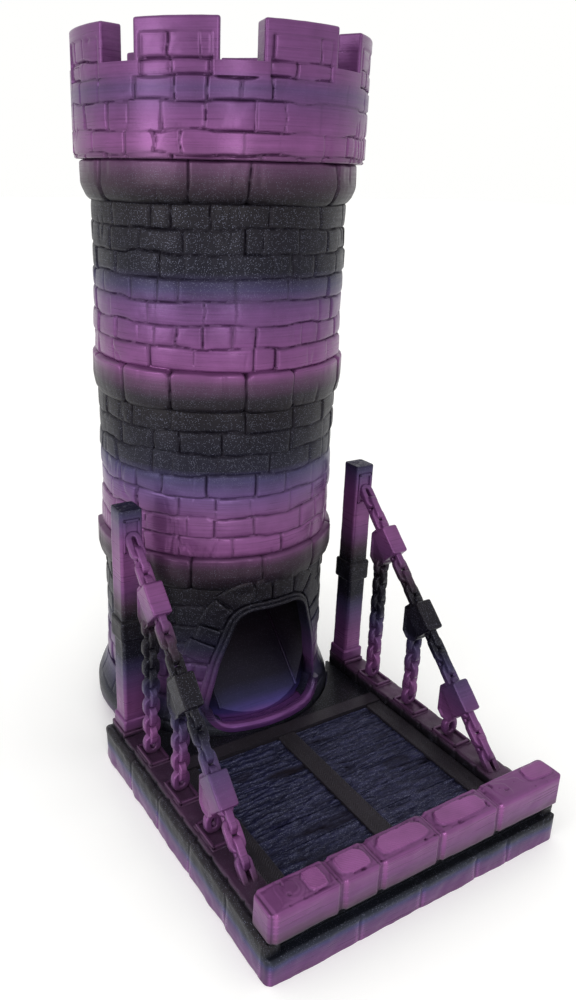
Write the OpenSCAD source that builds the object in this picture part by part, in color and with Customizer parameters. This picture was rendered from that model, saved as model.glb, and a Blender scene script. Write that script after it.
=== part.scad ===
/* Castle dice tower: a round stone tower with battlements stands in the socket of a drawbridge tray.
   Origin: tower axis on the table. Front is -Y, +X right, +Z up. Millimetres. */

/* [Tower] */
// Overall height of the tower above the table
total_h = 224.4; // [222:0.2:230]
// Outer radius of the top storey
top_storey_r = 40; // [39.6:0.1:40.4]
// Radius of the round shaft that the dice fall through
bore_r = 36; // [35.5:0.1:36.5]
// Height of the socket floor that the tower stands on
seat_z = 5; // [4:0.5:6]
// Depth of the groove between two brick courses
course_groove = 0.45; // [0.2:0.05:0.6]
// Brick courses in each of the two tall storeys
courses = 7; // [5:1:9]

/* [Crown] */
// Outer radius of the battlement wall
crown_r = 44.8; // [44.4:0.1:45.2]
// Number of merlons round the crown
merlon_count = 8; // [6:1:10]
// Width of one merlon, as an angle
merlon_angle = 30.5; // [26:0.5:33]
// Radius of the throat under the dice funnel
throat_r = 26; // [24:0.5:28]

/* [Doorway] */
// Half width of the doorway at its foot
door_foot_w = 22.6; // [21:0.2:23]
// Half width of the doorway at its head
door_head_w = 12; // [10:0.5:13]
// Height of the doorway's sill
door_sill_z = 12; // [11.5:0.5:13]
// Height of the doorway's head
door_head_z = 54; // [50:0.5:55]
// Slope of the exit ramp
ramp_angle = 45; // [40:1:48]
// Slope of the two baffles in the shaft
baffle_angle = 38; // [34:1:40]

/* [Tray] */
// Half width of the tray across its side stones
tray_half_w = 51.8; // [51:0.1:52.5]
// Distance of the tray's front face from the tower axis
tray_front = 119.7; // [118:0.1:121]
// Number of deck planks
plank_count = 7; // [5:1:9]
// Height of the curb between the pads of its posts and chains
curb_top = 13.6; // [13.4:0.1:14]

/* [Chains] */
// Height at which the stay chain leaves its post
stay_top_z = 83.5; // [80:0.5:84]
// Distance between the drop chains
drop_pitch = 19.7; // [19:0.1:20.5]
// Width of the bar that a drop link is bent from
drop_bar = 1.9; // [1.7:0.1:2]
// Width of the bar that a stay link is bent from
stay_bar = 1.8; // [1.6:0.1:2]

/* [Hidden] */
$fn = 96;
eps = 0.01;

// Colours, by height in the print
magenta = [0.50, 0.33, 0.50];
purple = [0.42, 0.28, 0.45];
ink = [0.13, 0.12, 0.16];
brown = [0.22, 0.18, 0.22];
blue = [0.20, 0.19, 0.32];

// Tower levels and radii
plinth_r = 43.4;
plinth_top = 20;
ground_courses = 6;
ground_r = 38.9;
middle_r = 39.5;
lower_ring_z = [62, 72.8];
middle_ring_z = [120.5, 132.4];
upper_ring_z = [179.2, 190.4];
lower_ring_r = 40.9;
middle_ring_r = 41.3;
upper_ring_r = 42.8;
lower_baffle_z = 140;
upper_baffle_z = 176;
crenel_z = total_h - 10.2;
crown_floor_z = upper_ring_z[1] + 4;
crown_bore_r = 37.6;
funnel_rim_z = 210.5;

// Doorway outline: rounded corners, and a knee half way up each side
door_corner_r = 7;
door_knee_in = 4.6;
door_knee_z = 36;
door_knee_r = 30;
trim_w = 1.1;
voussoir_w = 9.2;

// Tray levels
slab_top = 8.8;
apron_top = 9.4;
plank_top = 9.8;
strap_top = 10.6;
threshold_top = 11;
slab_rear = 18.6;
slab_half_w = 49.2;
front_course_t = 3;
parapet_z = [11.7, 23.1];
parapet_t = 9.8;
parapet_joints = [-50.8, -29.9, -17.4, 3, 24.6, 50.8];
front_joints = [-tray_half_w, -23.2, -2.2, 18.5, 30.9, tray_half_w];
side_stone_y = [front_course_t - tray_front, -98.6, -78.4, -58.6, -38.9, -slab_rear];
stone_top = parapet_z[0];
stone_gap = 0.5;
curb_in = 40.6;
post_pad_top = 14.7;
frame_back = 5;
frame_front = 7.4;
frame_h = 1;
pad_r = 40;
threshold_w = 5;
socket_gap = 0.4;
deck_rear = 50.3;
parapet_back = 0.2;
undercut = 3.2;
deck_front = tray_front - parapet_back - parapet_t;
strap_w = 6.4;
side_strap_x = 37.3;
front_strap_d = 3.2;

// Posts, stay and drop chains
post_x = 44.64;
post_y = -24.34;
post_half = 3.46;
post_top = 92;
collar_z = [47.3, 55];
collar_out = 1;
anchor_z = [78, 89];
stay_foot = [-98.8, curb_top];
stay_head = [post_y - post_half - 0.4, stay_top_z];
stay_vec = stay_head - stay_foot;
stay_len = norm(stay_vec);
stay_tilt = atan2(stay_vec[1], stay_vec[0]);
stay_links = 21;
stay_link_w = 5;
stay_link_t = 2.4;
stay_pitch = stay_len / stay_links;
link_w = 5.7;
drop_l = 7.1;
drop_link_t = 2.4;
drop_pitch_z = drop_l / 2 - 0.1;
drop_y = [for (i = [0:2]) -40.2 - i * drop_pitch];
block_w = 6.2;
block_l = 10.2;
block_t = 7.8;
block_ahead = 3.2;
hanger_w = 5.2;
hanger_half = 3.6;
hanger_drop = 12.4;

function stay_z(y) = stay_foot[1] + (y - stay_foot[0]) * stay_vec[1] / stay_vec[0];
function hanger_foot(i) = stay_z(drop_y[i]) - hanger_drop;
function drop_top(i) = max(curb_top + drop_l, hanger_foot(i) + 3);

// ---- Outline helpers ----
function unit(v) = v / norm(v);
function left_of(v) = [-v[1], v[0]];
function turn(a, b) = acos(max(-1, min(1, a * b)));

// Points of one rounded corner of a convex, anticlockwise outline
function corner(p, q, r, radius, steps = 10) =
    let (a = unit(q - p), b = unit(r - q), bend = turn(a, b),
         centre = q - a * radius * tan(bend / 2) + left_of(a) * radius,
         start = atan2(-left_of(a)[1], -left_of(a)[0]))
    [for (k = [0:steps]) let (at = start + bend * k / steps) centre + radius * [cos(at), sin(at)]];

function rounded(pts, radii) = let (n = len(pts))
    [for (i = [0:n - 1]) for (c = corner(pts[(i + n - 1) % n], pts[i], pts[(i + 1) % n], radii[i])) c];

// Doorway outline, grown outwards by g; the head is a low round arch
function door_outline(g) =
    let (foot = door_foot_w + g, knee = door_foot_w - door_knee_in + g, head = door_head_w + 0.8 * g,
         sill = door_sill_z - g, top = door_head_z + g, r = door_corner_r + g)
    rounded([[-foot, sill], [foot, sill], [knee, door_knee_z], [head, top], [-head, top],
        [-knee, door_knee_z]],
        [r, r, door_knee_r, r, r, door_knee_r]);

// Prism of the doorway outline, running forwards from y = -back to y = -120
module door_prism(g, back = 20) {
    translate([0, -back, 0]) rotate([90, 0, 0]) linear_extrude(100) polygon(door_outline(g));
}

// Box between two limits along each axis
module span(x, y, z) translate([x[0], y[0], z[0]]) cube([x[1] - x[0], y[1] - y[0], z[1] - z[0]]);

module tube(r_out, r_in, z0, z1) {
    translate([0, 0, z0]) difference() {
        cylinder(r = r_out, h = z1 - z0);
        translate([0, 0, -1]) cylinder(r = r_in, h = z1 - z0 + 2);
    }
}

// Profile of a wall with a shallow groove at each course
function course_steps(r, z0, z1, n) = let (h = (z1 - z0) / n, w = 0.8)
    [for (i = [1:n - 1]) for (p = [[r, z0 + i * h - w / 2], [r - course_groove, z0 + i * h],
        [r, z0 + i * h + w / 2]]) p];

module storey(r, z0, z1, n) rotate_extrude()
    polygon(concat([[bore_r, z0], [r, z0]], course_steps(r, z0, z1, n), [[r, z1], [bore_r, z1]]));

// Bulged ring course: the face swells to r between chamfered edges
module ring(r, r_low, r_high, z) rotate_extrude() {
    bulge = 1.6;
    polygon([[bore_r, z[0]], [r_low, z[0]], [r, z[0] + bulge],
        [r, z[1] - bulge], [r_high, z[1]], [bore_r, z[1]]]);
}

// ---- Tray ----
module base_slab() color(purple) difference() {
    union() {
        span([-slab_half_w, slab_half_w], [front_course_t - tray_front, -slab_rear], [0, slab_top]);
        span([-curb_in, curb_in], [threshold_w - deck_rear, -slab_rear], [slab_top - eps, apron_top]);
        cylinder(r = pad_r, h = seat_z);
    }
    translate([0, 0, seat_z]) cylinder(r = plinth_r + socket_gap, h = 20);
}

module front_course() color(purple) for (i = [0:4])
    span([front_joints[i] + stone_gap / 2, front_joints[i + 1] - stone_gap / 2],
        [-tray_front, front_course_t - tray_front], [0, slab_top - 0.4]);

// Row of stones along one side of the tray; side is -1 for the left and 1 for the right
module side_stones(side) for (i = [0:4])
    span(side < 0 ? [-tray_half_w, -slab_half_w] : [slab_half_w, tray_half_w],
        [side_stone_y[i] + stone_gap / 2, side_stone_y[i + 1] - stone_gap / 2], [0, stone_top]);
module left_side_stones() color(ink) side_stones(-1);
module right_side_stones() color(ink) side_stones(1);

// Curb beam with one raised frame round the foot of each drop chain
module curb(side) difference() {
    mid = (curb_in + slab_half_w) / 2;
    half = (slab_half_w - curb_in) / 2;
    post_pad = [post_y - 4.6, post_y + 5.4];
    translate([side * mid, 0, 0]) difference() {
        union() {
            span([-half, half], [-deck_front, post_pad[0]], [slab_top, stone_top]);
            span([0.8 - half, half - 0.8], [-deck_front, post_pad[0]], [stone_top - eps, curb_top]);
            span([-half, half], [post_pad[0] - eps, post_pad[1]], [slab_top, post_pad_top]);
            for (y = drop_y)
                span([-half, half], [y - frame_front, y + frame_back], [slab_top, curb_top + frame_h]);
        }
        for (y = drop_y) span([1 - half, half - 1], [y - frame_front + 1, y + frame_back - 1],
            [curb_top, curb_top + frame_h + 1]);
    }
    cylinder(r = plinth_r + socket_gap, h = 30);
}
module left_curb() color(brown) curb(-1);
module right_curb() color(brown) curb(1);

// Recessed course that the parapet stones stand on
module parapet_bed() color(ink) span([-slab_half_w, slab_half_w],
    [undercut - tray_front, -deck_front], [slab_top, parapet_z[0]]);

// Parapet stone i, with chamfered long edges
module parapet_stone(i) {
    c = 1.4;
    z0 = parapet_z[0];
    z1 = parapet_z[1];
    y0 = -tray_front + parapet_back;
    y1 = y0 + parapet_t;
    x0 = parapet_joints[i] + (i == 0 ? 0 : stone_gap / 2);
    x1 = parapet_joints[i + 1] - (i == 4 ? 0 : stone_gap / 2);
    translate([x0, 0, 0]) rotate([90, 0, 90]) linear_extrude(x1 - x0)
        polygon([[y0 + c, z0], [y1, z0], [y1, z1 - c], [y1 - c, z1], [y0 + c, z1], [y0, z1 - c],
            [y0, z0 + c]]);
}
module parapet_stone_1() color(magenta) parapet_stone(0);
module parapet_stone_2() color(magenta) parapet_stone(1);
module parapet_stone_3() color(magenta) parapet_stone(2);
module parapet_stone_4() color(magenta) parapet_stone(3);
module parapet_stone_5() color(magenta) parapet_stone(4);

module deck_planks() color(ink) {
    pitch = (deck_front - deck_rear) / plank_count;
    for (i = [0:plank_count - 1]) span([0.2 - curb_in, curb_in - 0.2],
        [i * pitch - deck_front + stone_gap / 2, (i + 1) * pitch - deck_front - stone_gap / 2],
        [slab_top, plank_top]);
}

module strap(x) span([x - strap_w / 2, x + strap_w / 2], [-deck_front, -deck_rear], [plank_top, strap_top]);
module left_strap() color(ink) strap(-side_strap_x);
module centre_strap() color(ink) strap(0);
module right_strap() color(ink) strap(side_strap_x);

// Strip along the parapet, between the side straps and broken by the centre strap
module front_strap() color(ink) for (s = [-1, 1])
    span(s < 0 ? [strap_w / 2 - side_strap_x, -strap_w / 2] : [strap_w / 2, side_strap_x - strap_w / 2],
        [-deck_front, front_strap_d - deck_front], [plank_top, strap_top]);

module threshold_bar() color(brown)
    span([0.2 - curb_in, curb_in - 0.2], [-deck_rear, threshold_w - deck_rear], [apron_top, threshold_top]);

// ---- Posts ----
module post(side) translate([side * post_x, post_y, 0]) {
    foot = post_half + 0.8;
    foot_top = post_pad_top + 4;
    span([-post_half, post_half], [-post_half, post_half], [post_pad_top, post_top]);
    span([-foot, foot], [-foot, foot], [post_pad_top, foot_top]);
}
module left_post() color(magenta) post(-1);
module right_post() color(magenta) post(1);

module post_collar(side) translate([side * post_x, post_y, 0]) difference() {
    out = post_half + collar_out;
    span([-out, out], [-out, out], collar_z);
    span([-post_half, post_half], [-post_half, post_half], [collar_z[0] - 1, collar_z[1] + 1]);
}
module left_post_collar() color(ink) post_collar(-1);
module right_post_collar() color(ink) post_collar(1);

// Raised frame that the stay chain springs from
module anchor_plate(side) translate([side * post_x, post_y - post_half, 0]) difference() {
    half = 2.8;
    proud = 0.8;
    rim = 1;
    span([-half, half], [-proud, 0], anchor_z);
    span([rim - half, half - rim], [-proud - 1, -0.4], [anchor_z[0] + rim, anchor_z[1] - rim]);
}
module left_anchor_plate() color(purple) anchor_plate(-1);
module right_anchor_plate() color(purple) anchor_plate(1);

// ---- Chains ----
module stadium(l, w) {
    for (s = [-1, 1]) translate([0, s * (l - w) / 2]) circle(d = w, $fn = 48);
    square([w, l - w], center = true);
}

// Flat link standing along Z, its face towards Y
module link(l, w, bar, t) rotate([90, 0, 0]) linear_extrude(t, center = true) difference() {
    stadium(l, w);
    stadium(l - 2 * bar, w - 2 * bar);
}

// Chain along +Z from the origin: links turned a quarter turn from one to the next
module chain(count, pitch, l, w, bar, t) for (i = [0:count - 1])
    translate([0, 0, l / 2 + i * pitch]) rotate([0, 0, 90 * (i % 2)]) link(l, w, bar, t);

module drop_chain(side, i) {
    foot = curb_top;
    count = max(1, floor((drop_top(i) - foot - drop_l) / drop_pitch_z) + 1);
    translate([side * post_x, drop_y[i], foot])
        chain(count, drop_pitch_z, drop_l, link_w, drop_bar, drop_link_t);
}
module left_drop_chain_1() color(magenta) drop_chain(-1, 0);
module left_drop_chain_2() color(magenta) drop_chain(-1, 1);
module left_drop_chain_3() color(magenta) drop_chain(-1, 2);
module right_drop_chain_1() color(magenta) drop_chain(1, 0);
module right_drop_chain_2() color(magenta) drop_chain(1, 1);
module right_drop_chain_3() color(magenta) drop_chain(1, 2);

module stay_chain(side) difference() {
    link_l = 2 * stay_pitch - 0.2;
    translate([side * post_x, stay_foot[0], stay_foot[1]]) rotate([stay_tilt - 90, 0, 0])
        translate([0, 0, -3.2]) chain(stay_links, stay_pitch, link_l, stay_link_w, stay_bar, stay_link_t);
    span([side * post_x - 10, side * post_x + 10], [-deck_front - 10, 30 - deck_front], [0, curb_top]);
}
module left_stay_chain() color(purple) stay_chain(-1);
module right_stay_chain() color(purple) stay_chain(1);

// Side view of a block's hanger, shrunk by g; it hangs under the stay and takes the drop chain
module hanger_outline(i, g) {
    half = hanger_half - g;
    low = g - hanger_drop;
    cut = 2;
    translate([drop_y[i], stay_z(drop_y[i])])
        polygon([[-half, low + cut], [cut - half, low], [half - cut, low], [half, low + cut],
            [half, -1.5 - g], [half - 2, 0.6 - g], [-half, -3.2 - g]]);
}

// Prism of the hanger between two planes x
module hanger(i, x, g) translate([x[0], 0, 0]) rotate([90, 0, 90])
    linear_extrude(x[1] - x[0]) hanger_outline(i, g);

// Sleeve round the stay chain, with a tapered hanger below it that takes a drop chain
module stay_block(side, i) {
    y = drop_y[i] - block_ahead;
    face = [side * post_x - hanger_w / 2, side * post_x + hanger_w / 2];
    recess = 0.6;
    translate([side * post_x, y, stay_z(y)]) rotate([stay_tilt, 0, 0])
        cube([block_w, block_l, block_t], center = true);
    difference() {
        hanger(i, face, 0);
        hanger(i, [face[0] - 1, face[0] + recess], 1.1);
        hanger(i, [face[1] - recess, face[1] + 1], 1.1);
    }
}
module left_block_1() color(magenta) stay_block(-1, 0);
module left_block_2() color(ink) stay_block(-1, 1);
module left_block_3() color(purple) stay_block(-1, 2);
module right_block_1() color(magenta) stay_block(1, 0);
module right_block_2() color(ink) stay_block(1, 1);
module right_block_3() color(purple) stay_block(1, 2);

// ---- Tower ----
module plinth() color(ink) difference() {
    rotate_extrude() polygon([[bore_r, seat_z], [plinth_r - 1, seat_z], [plinth_r, seat_z + 1.5],
        [plinth_r, plinth_top - 8], [ground_r + 1.4, plinth_top], [bore_r, plinth_top]]);
    door_prism(2 * trim_w);
}

module ground_storey() color(brown) difference() {
    storey(ground_r, plinth_top, lower_ring_z[0], ground_courses);
    door_prism(2 * trim_w);
}

module door_band(r_in, r_out, g_in, g_out) intersection() {
    tube(r_out, r_in, seat_z, 80);
    difference() {
        door_prism(g_out);
        door_prism(g_in);
    }
}

// Double raised trim round the doorway
module door_trim() color(purple) intersection() {
    span([-60, 60], [-60, 0], [door_sill_z, 90]);
    union() {
        door_band(bore_r, ground_r + 1.4, trim_w, 2 * trim_w);
        door_band(bore_r, ground_r + 2.2, 0, trim_w);
    }
}

// Rounded lip that the dice roll over
module door_sill() color(magenta) intersection() {
    span([-60, 60], [-60, 0], [seat_z, door_sill_z]);
    tube(plinth_r, bore_r, seat_z, door_sill_z);
    door_prism(2 * trim_w);
}

// Wedge stones round the doorway, parted by slots that fan out from one centre
module voussoirs() color(ink) difference() {
    fan_z = 24;
    fan_step = 19;
    slot_w = 0.8;
    door_band(ground_r, ground_r + 0.8, 2 * trim_w, 2 * trim_w + voussoir_w);
    for (k = [-5:5]) translate([0, 0, fan_z]) rotate([0, (k + 0.5) * fan_step, 0])
        span([-slot_w / 2, slot_w / 2], [-60, 0], [0, 60]);
    span([-60, 60], [-60, 60], [0, plinth_top + 1]);
    span([-60, 60], [-60, 60], [lower_ring_z[0], 100]);
}

// Frame of the exit ramp: origin at the sill, +Y up the slope, +Z square to it
module on_ramp() translate([0, -bore_r, door_sill_z]) rotate([ramp_angle, 0, 0]) children();

// Wedge filling the foot of the shaft: a trough that turns the dice out of the doorway
module exit_ramp() color(blue) difference() {
    floor_half = 15.5;
    cheek = 40;
    cheek_rise = 52;
    wide = floor_half + cheek;
    intersection() {
        translate([0, 0, seat_z]) cylinder(r = bore_r, h = 90);
        on_ramp() span([-60, 60], [-60, 180], [-140, 30]);
    }
    on_ramp() translate([0, 160, 0]) rotate([90, 0, 0]) linear_extrude(260)
        polygon([[-floor_half, 0], [floor_half, 0], [wide, cheek_rise],
            [wide, 90], [-wide, 90], [-wide, cheek_rise]]);
}

// Sloping plate across part of the shaft; side is 1 at the rear wall and -1 at the front wall
module baffle(side, wall_z) intersection() {
    tip = 6;
    t = 3;
    translate([0, 0, lower_ring_z[1]]) cylinder(r = bore_r, h = 110);
    span([-50, 50], side > 0 ? [-tip, 50] : [-50, tip], [0, 230]);
    translate([0, side * bore_r, wall_z]) rotate([side * baffle_angle, 0, 0])
        span([-50, 50], [-80, 80], [-t, 0]);
}
module lower_baffle() color(blue) baffle(-1, lower_baffle_z);
module upper_baffle() color(ink) baffle(1, upper_baffle_z);

module lower_ring() color(brown) ring(lower_ring_r, ground_r + 0.6, middle_r + 0.4, lower_ring_z);
module middle_storey() color(magenta) storey(middle_r, lower_ring_z[1], middle_ring_z[0], courses);
module middle_ring() color(ink) ring(middle_ring_r, middle_r + 0.6, top_storey_r, middle_ring_z);
module upper_storey() color(magenta) storey(top_storey_r, middle_ring_z[1], upper_ring_z[0], courses);
module upper_ring() color(brown) ring(upper_ring_r, 41.2, 42.4, upper_ring_z);

module crown_wall() color(magenta) rotate_extrude() {
    course_z = [191.7, 197.5, 204.7, 210.5];
    groove = [for (z = course_z) for (p = [[0, -0.4], [-course_groove, 0], [0, 0.4]]) [crown_r, z] + p];
    polygon(concat([[bore_r, upper_ring_z[1]], [crown_r - 0.8, upper_ring_z[1]]], groove, [[crown_r, crenel_z],
        [crown_bore_r, crenel_z], [crown_bore_r, crown_floor_z], [bore_r, crown_floor_z]]));
}

module merlons() color(magenta) for (i = [0:merlon_count - 1])
    rotate([0, 0, -90 + i * 360 / merlon_count]) intersection() {
        edge = 60 * [cos(merlon_angle / 2), sin(merlon_angle / 2)];
        tube(crown_r, crown_bore_r, crenel_z, total_h);
        linear_extrude(total_h + 1) polygon([[0, 0], [edge[0], -edge[1]], [70, 0], edge]);
    }

// Cone that gathers the dice to the throat, undercut at 45 degrees
module dice_funnel() color(purple) rotate_extrude() {
    lip_z = crown_floor_z + 2.6;
    polygon([[bore_r, crown_floor_z], [crown_bore_r, crown_floor_z], [crown_bore_r, funnel_rim_z],
        [crown_bore_r - 1, funnel_rim_z], [throat_r, lip_z + 2], [throat_r, lip_z],
        [bore_r, lip_z - bore_r + throat_r]]);
}

base_slab();
front_course();
left_side_stones();
right_side_stones();
left_curb();
right_curb();
parapet_bed();
parapet_stone_1();
parapet_stone_2();
parapet_stone_3();
parapet_stone_4();
parapet_stone_5();
deck_planks();
left_strap();
centre_strap();
right_strap();
front_strap();
threshold_bar();
left_post();
right_post();
left_post_collar();
right_post_collar();
left_anchor_plate();
right_anchor_plate();
left_stay_chain();
right_stay_chain();
left_block_1();
left_block_2();
left_block_3();
right_block_1();
right_block_2();
right_block_3();
left_drop_chain_1();
left_drop_chain_2();
left_drop_chain_3();
right_drop_chain_1();
right_drop_chain_2();
right_drop_chain_3();
plinth();
ground_storey();
lower_ring();
middle_storey();
middle_ring();
upper_storey();
upper_ring();
crown_wall();
merlons();
door_trim();
voussoirs();
door_sill();
exit_ramp();
lower_baffle();
upper_baffle();
dice_funnel();
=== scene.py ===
"""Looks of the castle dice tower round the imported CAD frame. Lengths in the helpers are millimetres."""

import math

import bmesh
import bpy
import numpy as np
from mathutils import Matrix, Vector


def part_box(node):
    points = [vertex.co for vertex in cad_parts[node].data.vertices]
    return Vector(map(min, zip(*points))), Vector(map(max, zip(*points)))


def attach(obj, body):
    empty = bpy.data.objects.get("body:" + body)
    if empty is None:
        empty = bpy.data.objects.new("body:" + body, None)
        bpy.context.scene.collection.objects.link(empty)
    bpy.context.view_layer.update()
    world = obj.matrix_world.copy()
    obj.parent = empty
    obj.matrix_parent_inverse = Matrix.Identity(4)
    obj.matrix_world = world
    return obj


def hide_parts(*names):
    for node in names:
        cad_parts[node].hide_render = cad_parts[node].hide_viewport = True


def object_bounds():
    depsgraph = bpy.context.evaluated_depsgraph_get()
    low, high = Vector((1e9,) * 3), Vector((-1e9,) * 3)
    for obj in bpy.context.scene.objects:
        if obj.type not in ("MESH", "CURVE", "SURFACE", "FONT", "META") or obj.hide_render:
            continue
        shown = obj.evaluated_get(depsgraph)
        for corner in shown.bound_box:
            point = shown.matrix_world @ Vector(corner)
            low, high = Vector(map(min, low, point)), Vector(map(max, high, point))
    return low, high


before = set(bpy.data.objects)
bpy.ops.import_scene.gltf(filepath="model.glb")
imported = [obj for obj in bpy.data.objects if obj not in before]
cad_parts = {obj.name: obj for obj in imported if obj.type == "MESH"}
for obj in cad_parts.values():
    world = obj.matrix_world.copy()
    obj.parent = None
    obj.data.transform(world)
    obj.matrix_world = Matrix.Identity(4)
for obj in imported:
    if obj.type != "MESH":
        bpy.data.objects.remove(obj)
cad_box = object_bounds()

MM = 0.001
TAU = 2 * math.pi


# ---------------------------------------------------------------- levels and radii of the frame
def node_box(name):
    """Lowest and highest corner of a CAD node, in millimetres."""
    lo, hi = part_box(name)
    return np.array(lo) / MM, np.array(hi) / MM


def node_radius(name):
    """Largest distance of a CAD node from the tower axis, in millimetres."""
    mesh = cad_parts[name].data
    co = np.zeros(len(mesh.vertices) * 3)
    mesh.vertices.foreach_get("co", co)
    co = co.reshape(-1, 3)
    return float(np.hypot(co[:, 0], co[:, 1]).max()) / MM


def levels(name):
    lo, hi = node_box(name)
    return float(lo[2]), float(hi[2])


BORE_R = 36.0
CROWN_BORE_R = 37.6


def solids_of(node):
    """Boxes of the separate solids of a CAD node, sorted along X then Y."""
    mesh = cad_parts[node].data
    bm = bmesh.new()
    bm.from_mesh(mesh)
    bmesh.ops.remove_doubles(bm, verts=bm.verts, dist=1e-6)
    seen, boxes = set(), []
    for v in bm.verts:
        if v in seen:
            continue
        group, stack = [], [v]
        seen.add(v)
        while stack:
            w = stack.pop()
            group.append(w.co.copy())
            for e in w.link_edges:
                o = e.other_vert(w)
                if o not in seen:
                    seen.add(o)
                    stack.append(o)
        co = np.array(group) / MM
        boxes.append((co.min(0), co.max(0)))
    bm.free()
    return sorted(boxes, key=lambda b: (round(b[0][0], 1), round(b[0][1], 1)))


# ---------------------------------------------------------------- noise
def lattice_noise(points, cell, seed):
    """Smooth noise from -1 to 1 with features of about `cell`, which is one size or one for each axis."""
    size = 32
    table = np.random.default_rng(seed).random((size, size, size)) * 2 - 1
    q = points / np.asarray(cell, float) + 1000.0 + seed % 17
    base = np.floor(q).astype(int)
    f = q - base
    f = f * f * (3 - 2 * f)
    total = 0.0
    for corner in range(8):
        step = np.array([corner & 1, corner >> 1 & 1, corner >> 2 & 1])
        idx = (base + step) % size
        weight = np.prod(np.where(step == 1, f, 1 - f), axis=-1)
        total = total + weight * table[idx[..., 0], idx[..., 1], idx[..., 2]]
    return total


def fractal(points, cell, seed, octaves=3):
    """Several sizes of noise laid over each other."""
    cell = np.asarray(cell, float)
    total, share = 0.0, 0.0
    for k in range(octaves):
        total = total + lattice_noise(points, cell / 2**k, seed + 31 * k) / 2**k
        share += 1 / 2**k
    return total / share


def smooth(lo, hi, x):
    t = np.clip((x - lo) / (hi - lo), 0, 1)
    return t * t * (3 - 2 * t)


def bell(x, width):
    return np.exp(-((x / width) ** 2))


# ---------------------------------------------------------------- meshes
def mesh_of(name, verts, quads, painted_shade=None):
    """Mesh from points in millimetres and quads; the last argument is the shade painted into each point's
    colour, deepest in joints and crevices, and its negative values paint a highlight.
    """
    mesh = bpy.data.meshes.new(name)
    quads = np.ascontiguousarray(quads, np.int32)
    mesh.vertices.add(len(verts))
    mesh.vertices.foreach_set("co", (np.asarray(verts) * MM).astype(np.float32).ravel())
    mesh.loops.add(quads.size)
    mesh.loops.foreach_set("vertex_index", quads.ravel())
    mesh.polygons.add(len(quads))
    mesh.polygons.foreach_set("loop_start", np.arange(0, quads.size, 4, dtype=np.int32))
    mesh.update(calc_edges=True)
    mesh.validate()
    mesh.shade_smooth()
    mesh.set_sharp_from_angle(angle=math.radians(55))
    layer = mesh.attributes.new("joint_shade", "FLOAT", "POINT")
    values = np.zeros(len(verts)) if painted_shade is None else painted_shade
    layer.data.foreach_set("value", np.asarray(values, np.float32).ravel())
    return mesh


def joined(parts):
    """Several (verts, quads, painted shade) lumps as one."""
    verts, quads, painted_shades, start = [], [], [], 0
    for v, q, d in parts:
        verts.append(v)
        quads.append(q + start)
        painted_shades.append(np.zeros(len(v)) if d is None else d)
        start += len(v)
    return np.vstack(verts), np.vstack(quads), np.concatenate(painted_shades)


def grid_quads(rows, cols, wrap=False):
    """Quads of a grid of points, rows upward and columns to the right seen from outside."""
    i = np.arange(rows - 1)[:, None]
    j = np.arange(cols if wrap else cols - 1)[None, :]
    k = (j + 1) % cols
    a, b = i * cols + j, i * cols + k
    return np.stack([a, b, b + cols, a + cols], -1).reshape(-1, 4)


def shell(theta, z, radius, inner_r, painted_shade):
    """Closed ring wall. theta: columns; z and radius: rows x columns; inner_r: bore radius."""
    rows, cols = radius.shape
    outer = np.stack([radius * np.sin(theta), -radius * np.cos(theta), z], -1).reshape(-1, 3)
    turn = theta.reshape(-1)
    inner = [np.stack([inner_r * np.sin(turn), -inner_r * np.cos(turn), z[r]], -1) for r in (0, -1)]
    verts = np.vstack([outer, *inner])
    j = np.arange(cols)
    k = (j + 1) % cols
    top, low_in, top_in = (rows - 1) * cols, rows * cols, (rows + 1) * cols
    quads = np.vstack([
        grid_quads(rows, cols, wrap=True),
        np.stack([low_in + k, low_in + j, top_in + j, top_in + k], -1),
        np.stack([top + j, top + k, top_in + k, top_in + j], -1),
        np.stack([low_in + j, low_in + k, k, j], -1),
    ])
    return verts, quads, np.concatenate([painted_shade.reshape(-1), np.zeros(2 * cols)])


def box_lump(lo, hi, radius, step, relief=None):
    """Rounded box. relief(points, normals) gives the shift along the normal and the shade painted into the
    colour, deepest in joints, whose negative values paint a highlight.
    """
    lo, hi = np.array(lo, float), np.array(hi, float)
    steps = [step] * 3 if np.isscalar(step) else list(step)
    counts = [max(3, int(math.ceil((hi[a] - lo[a]) / steps[a])) + 1) for a in range(3)]
    ticks = [edge_ticks(np.linspace(lo[a], hi[a], counts[a]), radius) for a in range(3)]
    faces, points, start = [], [], 0
    for axis in range(3):
        u, v = (axis + 1) % 3, (axis + 2) % 3
        for side in (0, 1):
            gu, gv = np.meshgrid(ticks[u], ticks[v])
            p = np.zeros((gu.size, 3))
            p[:, u], p[:, v] = gu.ravel(), gv.ravel()
            p[:, axis] = hi[axis] if side else lo[axis]
            q = grid_quads(len(ticks[v]), len(ticks[u]))
            faces.append((q if side else q[:, ::-1]) + start)
            points.append(p)
            start += len(p)
    points, quads = np.vstack(points), np.vstack(faces)
    _, first, back = np.unique(np.round(points, 5), axis=0, return_index=True, return_inverse=True)
    points, quads = points[first], np.asarray(back).reshape(-1)[quads]
    core = np.clip(points, lo + radius, hi - radius)
    out = points - core
    normal = out / np.linalg.norm(out, axis=1)[:, None]
    points = core + radius * normal
    painted_shade = np.zeros(len(points))
    if relief is not None:
        shift, painted_shade = relief(points, normal)
        points = points + normal * shift[:, None]
    return points, quads, painted_shade


def edge_ticks(ticks, radius):
    """The same ticks with more of them in the rounded ends."""
    lo, hi = ticks[0], ticks[-1]
    inside = ticks[(ticks > lo + radius * 1.01) & (ticks < hi - radius * 1.01)]
    turn = np.linspace(0, math.pi / 2, 8 if radius > 1.2 else 4)
    arc = radius * (1 - np.cos(turn))
    return np.concatenate([lo + arc, inside, (hi - arc)[::-1]])


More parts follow.
